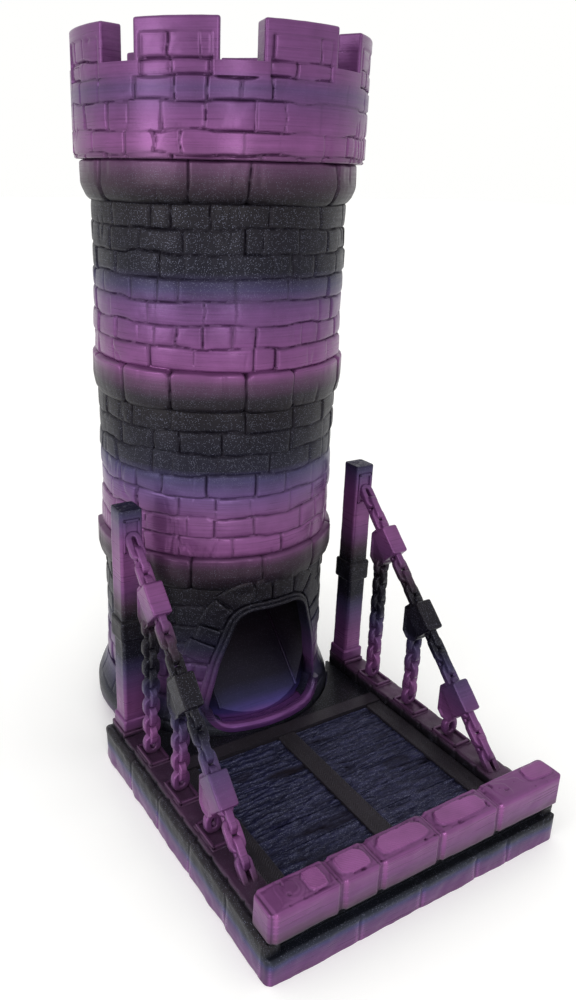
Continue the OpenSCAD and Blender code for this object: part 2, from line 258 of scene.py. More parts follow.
def tube_lump(path, section):
    """Closed bar along a closed flat path; section: points as (in the path's plane, square to it)."""
    path = np.asarray(path, float)
    tangent = np.roll(path, -1, 0) - np.roll(path, 1, 0)
    tangent /= np.linalg.norm(tangent, axis=1)[:, None]
    centre = path.mean(0)
    flat = np.cross(path[0] - centre, path[len(path) // 4] - centre)
    flat /= np.linalg.norm(flat)
    side = np.cross(tangent, flat)
    a, b = section[:, 0][None, :, None], section[:, 1][None, :, None]
    verts = path[:, None] + a * side[:, None] + b * flat[None, None]
    n, sides = len(path), len(section)
    i, j = np.arange(n)[:, None], np.arange(sides)[None, :]
    a, b = i * sides + j, i * sides + (j + 1) % sides
    c, d = ((i + 1) % n) * sides + (j + 1) % sides, ((i + 1) % n) * sides + j
    return verts.reshape(-1, 3), np.stack([a, b, c, d], -1).reshape(-1, 4), None


def bar_section(width, thick, corner):
    """Rounded rectangle about the origin, with extra points near its corners."""
    out = []
    for sx, sy, start in ((1, 1, 0), (-1, 1, 1), (-1, -1, 2), (1, -1, 3)):
        for k in range(4):
            a = (start + k / 3) * math.pi / 2
            x, y = sx * (width / 2 - corner), sy * (thick / 2 - corner)
            out.append((x + corner * math.cos(a), y + corner * math.sin(a)))
    return np.array(out)


def oriented(lump):
    """Turns a lump inside out if its quads face inwards."""
    v, q, d = lump
    a, b, c, e = (v[q[:, k]] for k in range(4))
    volume = np.einsum("ij,ij->", a, np.cross(b, c)) + np.einsum("ij,ij->", a, np.cross(c, e))
    return v, q if volume > 0 else q[:, ::-1], d


def placed(lump, matrix):
    """The lump moved by a 4 x 4 matrix."""
    v, q, d = lump
    m = np.array(matrix)
    return v @ m[:3, :3].T + m[:3, 3], q, d


# ---------------------------------------------------------------- pieces
def held_in(mesh):
    """Presses the few points that stand out of the frame's box back to its sides."""
    inset = 2e-6
    co = np.zeros(len(mesh.vertices) * 3, np.float32)
    mesh.vertices.foreach_get("co", co)
    co = np.clip(co.reshape(-1, 3), np.array(cad_box[0]) + inset, np.array(cad_box[1]) - inset)
    mesh.vertices.foreach_set("co", co.astype(np.float32).ravel())
    mesh.update()


def place(name, mesh, body, slot, material, *stands_for):
    """A new piece that rides on a body, takes the given material and stands for CAD nodes; the slot is not
    used.
    """
    held_in(mesh)
    obj = bpy.data.objects.new(name, mesh)
    bpy.context.scene.collection.objects.link(obj)
    obj.data.materials.clear()
    obj.data.materials.append(material)
    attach(obj, body)
    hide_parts(*stands_for)
    return obj


def place_lump(name, lump, body, slot, material, *stands_for):
    return place(name, mesh_of(name, *lump), body, slot, material, *stands_for)


# ---------------------------------------------------------------- filament
def linear(r, g, b):
    """Linear colour from 8-bit sRGB."""
    def one(c):
        c /= 255
        return c / 12.92 if c <= 0.04045 else ((c + 0.055) / 1.055) ** 2.4
    return (one(r), one(g), one(b), 1.0)


ORCHID = linear(112, 65, 112)
MAGENTA = linear(99, 58, 103)
PURPLE = linear(91, 58, 102)
VIOLET = linear(78, 54, 94)
BLUE = linear(52, 46, 76)
NAVY = linear(34, 32, 52)
INK = linear(15, 14, 27)
COAL = linear(19, 15, 21)
SLATE = linear(33, 28, 36)
MAUVE = linear(54, 37, 52)
PLUM = linear(78, 50, 77)

# Height in mm and filament colour there, for the tower as it was printed
TOWER_BANDS = (
    (5, VIOLET), (7.5, linear(40, 34, 52)), (10, linear(30, 32, 38)), (15, NAVY), (18, BLUE), (24, PURPLE),
    (31, VIOLET), (40, NAVY), (46, INK), (62, COAL), (69, MAUVE), (75, ORCHID), (86, linear(106, 66, 110)),
    (93, linear(88, 64, 108)), (98.5, linear(58, 52, 86)), (102, linear(24, 23, 38)), (108, INK),
    (120, COAL), (124, SLATE), (129, PLUM), (132, ORCHID), (141, MAGENTA), (150, PURPLE), (156, BLUE),
    (161, INK), (180, COAL), (185, MAUVE), (189, PLUM), (194, ORCHID), (201, MAGENTA), (208, VIOLET),
    (212, MAGENTA),
)

# The tray was printed lower on the same spool, so its bands sit a little lower
TRAY_BANDS = (
    (0, MAGENTA), (3.0, PURPLE), (4.4, VIOLET), (5.6, linear(52, 50, 92)), (6.8, linear(34, 38, 54)),
    (8.2, linear(22, 24, 30)), (10.8, COAL), (12.4, SLATE), (14, PLUM),
    (17, MAGENTA), (22, ORCHID), (27, MAGENTA), (33, VIOLET), (38, BLUE), (42, INK), (56, COAL),
    (60, MAUVE), (66, MAGENTA), (72, ORCHID), (82, MAGENTA), (87, VIOLET), (90, BLUE), (92, NAVY),
)

# The doorway's polished foot, with painted light and shade: paler where its nose catches the light, darker
# towards its underside where shade falls
SILL_LIGHT_AND_SHADE_BANDS = (
    (8, linear(52, 36, 76)), (10.4, linear(84, 50, 104)), (12.6, linear(104, 60, 116)),
    (15, VIOLET), (20, NAVY),
)

# Inside the shaft only the foot of the ramp catches the light: painted light at the foot, painted shade
# darkening upwards
SHAFT_LIGHT_AND_SHADE_BANDS = (
    (5, PURPLE), (11.5, linear(96, 60, 124)), (13.3, linear(62, 52, 112)), (16, linear(36, 34, 68)),
    (20, linear(20, 16, 34)), (30, linear(18, 10, 22)), (60, linear(12, 9, 14)), (120, INK),
)

# The deck and its straps are one colour each
PLANK_BANDS = ((8, linear(22, 24, 48)), (9.6, linear(31, 32, 58)), (11, linear(40, 40, 66)))
DECK_BANDS = ((8, linear(34, 30, 36)), (10.4, linear(44, 40, 46)), (12, linear(48, 42, 50)))


class Nodes:
    """Short calls for a material's node tree."""

    def __init__(self, name):
        self.material = bpy.data.materials.new(name)
        self.material.use_nodes = True
        self.tree = self.material.node_tree
        self.shader = self.tree.nodes["Principled BSDF"]

    def add(self, kind, **values):
        node = self.tree.nodes.new(kind)
        for key, value in values.items():
            setattr(node, key, value)
        return node

    def link(self, source, target):
        self.tree.links.new(source, target)

    def math(self, operation, a, b=None, clamp=False):
        node = self.add("ShaderNodeMath", operation=operation, use_clamp=clamp)
        for socket, value in zip(node.inputs, (a, b)):
            if value is None:
                continue
            if isinstance(value, (int, float)):
                socket.default_value = value
            else:
                self.link(value, socket)
        return node.outputs[0]

    def mix(self, factor, a, b, blend="MIX"):
        node = self.add("ShaderNodeMix", data_type="RGBA", blend_type=blend)
        for socket, value in ((node.inputs[0], factor), (node.inputs[6], a), (node.inputs[7], b)):
            if isinstance(value, (int, float, tuple)):
                socket.default_value = value
            else:
                self.link(value, socket)
        return node.outputs[2]

    def scaled(self, vector, scale):
        node = self.add("ShaderNodeVectorMath", operation="MULTIPLY")
        self.link(vector, node.inputs[0])
        node.inputs[1].default_value = scale
        return node.outputs[0]

    def noise(self, vector, scale, detail=2.0, roughness=0.5):
        node = self.add("ShaderNodeTexNoise")
        self.link(vector, node.inputs["Vector"])
        node.inputs["Scale"].default_value = scale
        node.inputs["Detail"].default_value = detail
        node.inputs["Roughness"].default_value = roughness
        return node.outputs["Fac"]


def band_ramp(nodes, height, bands):
    """Colour ramp over the height in millimetres."""
    low, high = bands[0][0], bands[-1][0]
    span = nodes.add("ShaderNodeMapRange")
    nodes.link(height, span.inputs["Value"])
    span.inputs["From Min"].default_value = low * MM
    span.inputs["From Max"].default_value = high * MM
    ramp = nodes.add("ShaderNodeValToRGB")
    stops = ramp.color_ramp.elements
    while len(stops) > 1:
        stops.remove(stops[-1])
    for k, (z, colour) in enumerate(bands):
        at = (z - low) / (high - low)
        stop = stops[0] if k == 0 else stops.new(at)
        stop.position = at
        stop.color = colour
    nodes.link(span.outputs[0], ramp.inputs[0])
    return ramp.outputs[0]


FLAKE = linear(120, 122, 142)
# Colour of the painted shade in joints and crevices
SHADE_COLOUR = linear(20, 13, 24)
SHEEN = 0.42


def filament(name, bands, glitter=1.0, gloss=0.30, rare=0.80):
    """Silk filament with colour bands by height, layer streaks, glitter, painted shade in joints and crevices
    and painted highlights where that shade goes negative.
    """
    n = Nodes(name)
    place_of = n.add("ShaderNodeTexCoord").outputs["Object"]
    split = n.add("ShaderNodeSeparateXYZ")
    n.link(place_of, split.inputs[0])
    drift = n.noise(place_of, 22.0)
    height = n.math("ADD", split.outputs["Z"], n.math("MULTIPLY", n.math("SUBTRACT", drift, 0.5), 0.0030))
    base = band_ramp(n, height, bands)
    brightness = n.add("ShaderNodeRGBToBW")
    n.link(base, brightness.inputs[0])

    streak = n.noise(n.scaled(place_of, (45.0, 45.0, 1900.0)), 1.0, 3.0, 0.6)
    layers = n.noise(n.scaled(place_of, (6.0, 6.0, 2600.0)), 1.0, 1.0)
    cloud = n.noise(place_of, 160.0, 3.0, 0.6)
    tone = n.math("ADD", n.math("MULTIPLY", streak, 0.62), n.math("MULTIPLY", cloud, 0.5))
    tone = n.math("ADD", tone, n.math("MULTIPLY", layers, 0.16))
    gain = n.math("ADD", tone, 0.36)
    gains = n.add("ShaderNodeCombineColor")
    for k in range(3):
        n.link(gain, gains.inputs[k])
    colour = n.mix(1.0, base, gains.outputs[0], "MULTIPLY")

    joint_shade = n.add("ShaderNodeAttribute", attribute_name="joint_shade").outputs["Fac"]
    # Painted shade: the attribute darkens the colour in joints and crevices
    colour = n.mix(n.math("MULTIPLY", joint_shade, 0.55, clamp=True), colour, SHADE_COLOUR)
    # Painted highlight: where the attribute is negative the colour is paled
    painted_highlight = n.mix(1.0, colour, (2.1, 2.0, 1.9, 1.0), "MULTIPLY")
    colour = n.mix(n.math("MULTIPLY", joint_shade, -1.0, clamp=True), colour, painted_highlight)

    flakes = n.add("ShaderNodeTexVoronoi", feature="F1")
    n.link(place_of, flakes.inputs["Vector"])
    flakes.inputs["Scale"].default_value = 4300.0
    pick = n.add("ShaderNodeSeparateColor")
    n.link(flakes.outputs["Color"], pick.inputs[0])
    near = n.math("LESS_THAN", flakes.outputs["Distance"], 0.34)
    chosen = n.math("GREATER_THAN", pick.outputs[0], rare)
    light = n.math("MULTIPLY", brightness.outputs[0], 14.0, clamp=True)
    darkness = n.math("SUBTRACT", 1.0, light, clamp=True)
    amount = n.math("MULTIPLY", n.math("ADD", n.math("MULTIPLY", darkness, 0.75), 0.10), glitter)
    spark = n.math("MULTIPLY", n.math("MULTIPLY", near, chosen), amount, clamp=True)
    spark = n.math("MULTIPLY", spark, n.math("SUBTRACT", 1.0, joint_shade, clamp=True))
    colour = n.mix(spark, colour, FLAKE)
    n.link(colour, n.shader.inputs["Base Color"])
    n.link(n.math("MAXIMUM", spark, SHEEN), n.shader.inputs["Metallic"])

    rough = n.math("ADD", n.math("MULTIPLY", streak, 0.30), gloss - 0.14)
    rough = n.math("ADD", rough, n.math("MULTIPLY", joint_shade, 0.25), clamp=True)
    rough = n.math("ADD", rough, n.math("MULTIPLY", darkness, 0.14), clamp=True)
    n.link(rough, n.shader.inputs["Roughness"])
    n.shader.inputs["Specular IOR Level"].default_value = 0.26

    relief = n.math("ADD", n.math("MULTIPLY", streak, 0.55), n.math("MULTIPLY", layers, 0.30))
    relief = n.math("ADD", relief, n.math("MULTIPLY", n.noise(place_of, 1500.0, 2.0), 0.25))
    bump = n.add("ShaderNodeBump")
    bump.inputs["Strength"].default_value = 0.55
    bump.inputs["Distance"].default_value = 0.00012
    n.link(relief, bump.inputs["Height"])
    n.link(bump.outputs[0], n.shader.inputs["Normal"])
    return n.material


MAT = {
    "storey": filament("storey_filament", TOWER_BANDS),
    "ring": filament("ring_filament", TOWER_BANDS, glitter=0.7),
    "crown": filament("crown_filament", TOWER_BANDS, glitter=0.5),
    "door": filament("door_filament", TOWER_BANDS, glitter=0.8),
    "shaft": filament("shaft_painted_light", SHAFT_LIGHT_AND_SHADE_BANDS, glitter=0.2),
    "sill": filament("sill_painted_light", SILL_LIGHT_AND_SHADE_BANDS, glitter=0.0, gloss=0.20),
    "base": filament("base_filament", TRAY_BANDS),
    "curb": filament("curb_filament", TRAY_BANDS, glitter=0.6),
    "parapet": filament("parapet_filament", TRAY_BANDS, glitter=0.4),
    "deck": filament("deck_filament", DECK_BANDS, glitter=0.5),
    "plank": filament("plank_filament", PLANK_BANDS, glitter=2.2, gloss=0.34, rare=0.66),
    "rail": filament("rail_filament", TRAY_BANDS, glitter=0.8),
}


# ---------------------------------------------------------------- tower walls
COLUMN = 0.42
ROW = 0.30


def wall_grid(radius, z0, z1, row=ROW):
    cols = int(TAU * radius / COLUMN)
    rows = max(4, int((z1 - z0) / row))
    theta = np.arange(cols) * TAU / cols
    return theta[None, :], np.linspace(z0, z1, rows)[:, None]


def on_cylinder(theta, z, radius):
    t, h = np.broadcast_arrays(theta, z)
    return np.stack([radius * np.sin(t), -radius * np.cos(t), h], -1)


def split_course(rng, length, shortest, longest):
    """Joint positions round one course, as sorted lengths along it."""
    cuts, at = [], 0.0
    while at < length:
        cuts.append(at)
        at += rng.uniform(shortest, longest)
    if length - cuts[-1] < shortest * 0.8 and len(cuts) > 2:
        cuts.pop()
    return np.sort((np.array(cuts) + rng.uniform(0, length)) % length)


def stone_of(cuts, u, length):
    """Which stone each length u falls in, and how far it is from that stone's left and right joints."""
    u = u % length
    which = np.searchsorted(cuts, u.ravel()).reshape(u.shape) % len(cuts)
    return which, (u - cuts[which - 1]) % length, (cuts[which] - u) % length


def coursed(theta, z, radius, bounds, seed, brick=(6.5, 18.0), wave=0.4, depth=0.66):
    """Relief of a brick wall: radial shift in mm and painted shade in the joints. bounds: heights of the bed
    joints.
    """
    rng = np.random.default_rng(seed)
    pts = on_cylinder(theta, z, radius)
    length = TAU * radius
    along = np.broadcast_to(theta * radius, pts.shape[:2])
    height = np.broadcast_to(z, pts.shape[:2])
    ring_pts = on_cylinder(theta, np.zeros((1, 1)), radius)
    edges = []
    for k, b in enumerate(bounds):
        end = k in (0, len(bounds) - 1)
        steps = lattice_noise(ring_pts + [0, 0, 40.0 * k], 9.0, seed + 5)
        lift = 0 if end else wave * (np.tanh(5 * steps) + 0.5 * lattice_noise(ring_pts, 3.5, seed + 6 + k))
        edges.append(b + lift + np.zeros_like(along[:1]))
    shift, painted_shade = np.zeros_like(along), np.zeros_like(along)
    bed_power = 0.62 + 0.5 * lattice_noise(pts * [1, 1, 0.4], 11.0, seed + 9)
    for k in range(len(bounds) - 1):
        low, high = edges[k], edges[k + 1]
        inside = (height >= low) & ((height < high) | (k == len(bounds) - 2))
        cuts = split_course(rng, length, *brick)
        wobble = 0.35 * lattice_noise(pts, 3.0, seed + 11 + k)
        which, to_left, to_right = stone_of(cuts, along + wobble, length)
        size = to_right + to_left
        power = rng.uniform(0.1, 1.15, len(cuts))
        face = rng.normal(0, 0.17, len(cuts))
        lean_u, lean_z = rng.normal(0, 0.15, len(cuts)), rng.normal(0, 0.08, len(cuts))
        side = np.minimum(to_left, to_right)
        strength = np.where(to_left < to_right, power[which - 1], power[which])
        bed = np.minimum(height - low, high - height)
        corner = 0.9
        a, b = np.maximum(corner - side, 0), np.maximum(corner - bed, 0)
        both = corner - np.hypot(a, b)
        reach = np.where((a > 0) & (b > 0), both, np.minimum(side, bed))
        mixed = np.where(side < bed, strength, np.clip(bed_power, 0.2, 1.2))
        gap = np.maximum(reach, 0)
        groove = depth * mixed * bell(gap, 0.32) + 0.16 * mixed * bell(gap, 0.9)
        across = (to_left - size / 2) / np.maximum(size / 2, 1)
        up = (height - (low + high) / 2) / ((high - low) / 2)
        stone = face[which] + lean_u[which] * across + lean_z[which] * up + 0.10 * (1 - up * up)
        shift = np.where(inside, stone - groove, shift)
        # Painted shade, darkest in the middle of the joints
        painted_shade = np.where(inside, np.clip(mixed * bell(gap, 0.34), 0, 1), painted_shade)
    folds = lattice_noise(pts * [1, 1, 0.22], 2.6, seed + 3)
    shift = shift - 0.30 * bell(folds, 0.12) * smooth(0.1, 0.6, lattice_noise(pts, 9.0, seed + 4))
    shift = shift + 0.10 * fractal(pts, 5.0, seed + 2, 3)
    return shift, painted_shade


def storey(node, courses, seed):
    """Wall of one storey, in even courses."""
    z0, z1 = levels(node)
    radius = node_radius(node)
    theta, z = wall_grid(radius, z0, z1)
    bounds = np.linspace(z0, z1, courses + 1)
    shift, painted_shade = coursed(theta, z, radius, bounds, seed)
    return shell(theta, np.broadcast_to(z, shift.shape), radius + shift, BORE_R, painted_shade)


def rounding(inside, radius):
    """How far a rounded edge falls back, from the distance inside that edge."""
    return radius - np.sqrt(np.maximum(radius**2 - (radius - inside) ** 2, 0))


def ring_band(node, seed, stone_len, sag, top_notch, low_r):
    """Belt of tall stones with rounded, uneven edges; its rims sink into the walls above and below."""
    z0, z1 = levels(node)
    radius = node_radius(node)
    over, bury, foot_r, head_r = 1.3, 1.6, 1.9, 0.9
    theta, z = wall_grid(radius, z0 - over, z1 + over * 0.6, 0.26)
    rng = np.random.default_rng(seed)
    pts = on_cylinder(theta, z, radius)
    length = TAU * radius
    cuts = split_course(rng, length, *stone_len)
    along = theta * radius + 0.5 * lattice_noise(pts, 5.0, seed + 1)
    which, to_left, to_right = stone_of(cuts, along, length)
    side, size = np.minimum(to_left, to_right), to_left + to_right
    power = rng.uniform(0.45, 1.1, len(cuts))
    strength = np.where(to_left < to_right, power[which - 1], power[which])
    face, lean = rng.normal(0, 0.22, len(cuts)), rng.normal(0, 0.3, len(cuts))
    hang = rng.uniform(-0.3, 0.5, len(cuts))
    low = z0 + 0.3 - sag * np.tanh(side / 1.2) * (1 + hang[which])
    low = low + 0.25 * lattice_noise(pts, 9.0, seed + 2)
    high = z1 - 0.1 - top_notch * strength * bell(side, 0.9) + 0.25 * lattice_noise(pts, 7.0, seed + 3)
    rise = (z - z0) / (z1 - z0)
    swell = radius - (radius - low_r) * (1 - smooth(-0.1, 0.45, rise))
    groove = strength * (0.9 * bell(side, 0.36) + 0.12 * bell(side, 1.2))
    across = (to_left - size / 2) / (size / 2)
    body = swell + face[which] + lean[which] * across - groove
    body = body + 0.16 * fractal(pts * [1, 1, 0.5], 5.0, seed + 4, 3)
    folds = lattice_noise(pts * [1, 1, 0.12], 5.5, seed + 6)
    body = body - 0.32 * bell(folds, 0.12) * smooth(0.0, 0.4, lattice_noise(pts, 12.0, seed + 7))
    drop = rounding(np.clip(z - low, 0, foot_r), foot_r) + rounding(np.clip(high - z, 0, head_r), head_r)
    outside = smooth(0.0, 0.5, np.maximum(low - z, z - high))
    body = np.minimum(body - drop - bury * outside, radius + 0.45)
    # Painted shade in the head joints and along the rims where the stones sink into the walls
    painted_shade = np.clip(strength * bell(side, 0.36), 0, 1) + 0.4 * bell(np.minimum(z - low, high - z), 0.4)
    return shell(theta, np.broadcast_to(z, body.shape), body, BORE_R, np.clip(painted_shade, 0, 1))


# ---------------------------------------------------------------- doorway
DOOR = dict(foot=22.6, head=12.0, sill=12.0, top=54.0, corner=7.0, knee_in=4.6, knee_z=36.0, knee_r=30.0)
TRIM = 1.1
ARCH_W = 8.6
ARCH_STEP = 0.5
ground_r = node_radius("ground_storey")


def door_outline(grow, steps=10):
    """The doorway's outline in (x, z), anticlockwise from the foot at the left, as in the frame."""
    d = DOOR
    foot, knee = d["foot"] + grow, d["foot"] - d["knee_in"] + grow
    head, r = d["head"] + 0.8 * grow, d["corner"] + grow
    sill, top = d["sill"] - grow, d["top"] + grow
    pts = [(-foot, sill), (foot, sill), (knee, d["knee_z"]), (head, top), (-head, top), (-knee, d["knee_z"])]
    radii = [r, r, d["knee_r"], r, r, d["knee_r"]]
    out = []
    for i, q in enumerate(pts):
        p, q, s = Vector(pts[i - 1]), Vector(q), Vector(pts[(i + 1) % 6])
        a, b = (q - p).normalized(), (s - q).normalized()
        bend = math.acos(max(-1, min(1, a.dot(b))))
        left = Vector((-a.y, a.x))
        centre = q - a * radii[i] * math.tan(bend / 2) + left * radii[i]
        start = math.atan2(-left.y, -left.x)
        for k in range(steps + 1):
            at = start + bend * k / steps
            out.append((centre.x + radii[i] * math.cos(at), centre.y + radii[i] * math.sin(at)))
    return np.array(out)


def door_cutter(grow):
    """Prism of the doorway outline, through the front wall."""
    outline = door_outline(grow)
    bm = bmesh.new()
    front = [bm.verts.new((x * MM, -0.07, z * MM)) for x, z in outline]
    back = [bm.verts.new((x * MM, -0.02, z * MM)) for x, z in outline]
    bm.faces.new(front)
    bm.faces.new(back[::-1])
    n = len(outline)
    for i in range(n):
        bm.faces.new((front[(i + 1) % n], front[i], back[i], back[(i + 1) % n]))
    mesh = bpy.data.meshes.new("door_cutter")
    bm.to_mesh(mesh)
    bm.free()
    obj = bpy.data.objects.new("door_cutter", mesh)
    bpy.context.scene.collection.objects.link(obj)
    return obj


def cut(mesh, cutter):
    """The mesh with the cutter's volume taken away."""
    obj = bpy.data.objects.new("cutting", mesh)
    bpy.context.scene.collection.objects.link(obj)
    step = obj.modifiers.new("cut", "BOOLEAN")
    step.operation = "DIFFERENCE"
    step.object = cutter
    step.solver = "MANIFOLD"
    graph = bpy.context.evaluated_depsgraph_get()
    done = bpy.data.meshes.new_from_object(obj.evaluated_get(graph), depsgraph=graph)
    bpy.data.objects.remove(obj)
    return done


def band_lump(profile, outline, normals):
    """Strip with a closed profile of (outward, radius) swept along an open outline wrapped on the wall."""
    m, n = len(profile), len(outline)
    verts = []
    for (g, r) in profile:
        q = outline + normals * g
        y = -np.sqrt(np.maximum(r**2 - q[:, 0] ** 2, 1))
        verts.append(np.stack([q[:, 0], y, q[:, 1]], -1))
    verts = np.stack(verts, 1).reshape(-1, 3)
    i, j = np.arange(n - 1)[:, None], np.arange(m)[None, :]
    a, b = i * m + j, i * m + (j + 1) % m
    quads = np.stack([a, b, b + m, a + m], -1).reshape(-1, 4)
    caps = []
    for row, flip in ((0, True), (n - 1, False)):
        centre = verts[row * m:(row + 1) * m].mean(0)
        verts = np.vstack([verts, centre])
        c = len(verts) - 1
        for k in range(0, m, 2):
            quad = [row * m + k, row * m + (k + 1) % m, row * m + (k + 2) % m, c]
            caps.append(quad[::-1] if flip else quad)
    return oriented((verts, np.vstack([quads, np.array(caps)]), None))


def evened(line, step):
    """The line with evenly spaced points, and its normals."""
    length = np.concatenate([[0], np.cumsum(np.linalg.norm(np.diff(line, axis=0), axis=1))])
    even = np.linspace(0, length[-1], int(length[-1] / step))
    line = np.stack([np.interp(even, length, line[:, k]) for k in (0, 1)], -1)
    t = np.gradient(line, axis=0)
    t /= np.linalg.norm(t, axis=1)[:, None]
    return line, np.stack([t[:, 1], -t[:, 0]], -1)


def open_outline(grow, z_low):
    """The doorway's outline without its foot, dense and even, with outward normals."""
    pts = door_outline(grow, 24)
    keep = pts[pts[:, 1] > z_low]
    foot_gap = 20
    start = np.argmax(np.abs(np.roll(keep, 1, 0)[:, 0] - keep[:, 0]) > foot_gap)
    return evened(np.roll(keep, -start, 0), ARCH_STEP)


def round_profile(g0, g1, r0, r1, corner):
    """Closed profile with rounded outer corners, from the wall at r0 out to r1."""
    arc = np.linspace(0, math.pi / 2, 4)
    right = [(g1 - corner + corner * math.cos(a), r1 - corner + corner * math.sin(a)) for a in arc]
    left = [(g0 + corner - corner * math.sin(a), r1 - corner + corner * math.cos(a)) for a in arc]
    return [(g1, r0)] + right + left + [(g0, r0)]


def plinth_lump():
    """Spreading foot: a low vertical rim, a round shoulder and a sloping flare with broad stones."""
    z0, z1 = levels("plinth")
    plinth_r = node_radius("plinth")
    theta, z = wall_grid(plinth_r, z0, z1, 0.28)
    rise = (z - z0) / (z1 - z0)
    rim = 1.4
    slope = ground_r + 0.6 + (plinth_r - 0.3 - ground_r - 0.6) * (1 - smooth(0.25, 1.02, rise)) ** 1.1
    body = slope - 0.8 * rounding(np.clip(z - z0, 0, rim), rim)
    shift, painted_shade = coursed(theta, z, plinth_r, [z0 - 2, z0 + 7.5, z1], 77, brick=(11, 24), wave=0.5, depth=0.4)
    body = np.minimum(body + 0.6 * shift, plinth_r)
    # The joints' painted shade, kept lighter here
    return shell(theta, np.broadcast_to(z, shift.shape), body, BORE_R, 0.7 * painted_shade)


def on_tower(name, lump, key, node):
    place_lump(name, lump, "tower", key + "_banded", MAT[key], node)


cutter = door_cutter(2 * TRIM)
for name, lump, key, node in (
    ("plinth_flare", plinth_lump(), "ring", "plinth"),
    ("ground_bricks", storey("ground_storey", 6, 21), "storey", "ground_storey"),
):
    place(name, cut(mesh_of(name, *lump), cutter), "tower", key + "_banded", MAT[key], node)
bpy.data.objects.remove(cutter)
on_tower("middle_bricks", storey("middle_storey", 7, 34), "storey", "middle_storey")
on_tower("upper_bricks", storey("upper_storey", 7, 55), "storey", "upper_storey")
on_tower("lower_ring_stones", ring_band("lower_ring", 8, (16, 34), 1.2, 0.5, 39.9), "ring", "lower_ring")
on_tower("middle_ring_stones", ring_band("middle_ring", 12, (15, 27), 0.9, 1.3, 40.4), "ring", "middle_ring")
on_tower("upper_ring_stones", ring_band("upper_ring", 16, (16, 34), 0.7, 0.0, 40.9), "ring", "upper_ring")


def trim_lump():
    """Two raised bands round the doorway, the inner one prouder."""
    line, normals = open_outline(0.0, DOOR["sill"] + 0.2)
    inner = band_lump(round_profile(0.0, TRIM + 0.15, BORE_R, ground_r + 2.2, 0.45), line, normals)
    outer = band_lump(round_profile(TRIM - 0.1, 2 * TRIM + 0.1, BORE_R, ground_r + 1.4, 0.45), line, normals)
    return joined([inner, outer])


on_tower("doorway_trim", trim_lump(), "door", "door_trim")


def sill_lump():
    """Polished moulding that rolls over the foot of the doorway and up into its corners."""
    pts = door_outline(-0.9, 24)
    low = pts[pts[:, 1] < DOOR["sill"] + 6.5]
    line, normals = evened(low[np.argsort(low[:, 0])], 0.4)
    arc = np.linspace(0, math.pi, 15)
    middle, reach = 40.9, 1.9
    nose = [(1.6 - 1.5 * math.sin(a), middle - reach * math.cos(a)) for a in arc]
    profile = nose + [(2.8, middle + reach), (2.8, BORE_R + 0.4), (1.6, BORE_R + 0.4)]
    return band_lump(profile, line, normals)


place_lump("sill_lip", sill_lump(), "tower", "door_banded", MAT["sill"], "door_sill")


def arch_lump():
    """Irregular wedge stones laid round the doorway on the face of the wall."""
    z_low = levels("plinth")[1] + 1.0
    line, normals = open_outline(2 * TRIM, z_low)
    length = ARCH_STEP * (len(line) - 1)
    rng = np.random.default_rng(811)
    shares = np.array([0.0, 0.095, 0.19, 0.30, 0.395, 0.5, 0.595, 0.71, 0.81, 0.905, 1.0])
    shares[1:-1] += rng.normal(0, 0.008, len(shares) - 2)
    parts = []
    for k in range(len(shares) - 1):
        depth = ARCH_W * rng.uniform(0.82, 1.0)
        slant = rng.normal(0, 0.5)

        def relief(p, n, k=k):
            return 0.3 * fractal(p + 30.0 * k, 4.0, 820 + k, 3) - 0.15, np.zeros(len(p))

        lo = (shares[k] * length + 0.15, 0.15, BORE_R + 1.0)
        hi = (shares[k + 1] * length - 0.15, depth, ground_r + 1.1)
        p, quads, painted_shade = box_lump(lo, hi, 0.8, 0.4, relief)
        s, g, r = p[:, 0] / ARCH_STEP, p[:, 1], p[:, 2]
        s = np.clip(s + slant * g / ARCH_W * 2, 0, len(line) - 1)
        at = np.arange(len(line))
        base, out = ([np.interp(s, at, way[:, a]) for a in (0, 1)] for way in (line, normals))
        x, z = base[0] + out[0] * g, base[1] + out[1] * g
        z = np.maximum(z, z_low - 0.5)
        verts = np.stack([x, -np.sqrt(np.maximum(r**2 - x**2, 1)), z], -1)
        parts.append(oriented((verts, quads, painted_shade)))
    return joined(parts)


on_tower("arch_stones", arch_lump(), "door", "voussoirs")


# ---------------------------------------------------------------- crown
MERLONS = 8
MERLON_ANGLE = math.radians(30.5)
crown_r = node_radius("crown_wall")
crown_z = levels("crown_wall")
top_z = levels("merlons")[1]
PANEL_LOW, PANEL_HIGH, PANEL_SPLIT = 210.5, 220.6, 214.9
COURSE_Z = (191.7, 197.5, 204.7, 210.5)
CROWN_EDGE = 0.6


def merlon_offset(theta):
    """Signed angle from the nearest merlon's middle."""
    pitch = TAU / MERLONS
    return (theta + pitch / 2) % pitch - pitch / 2


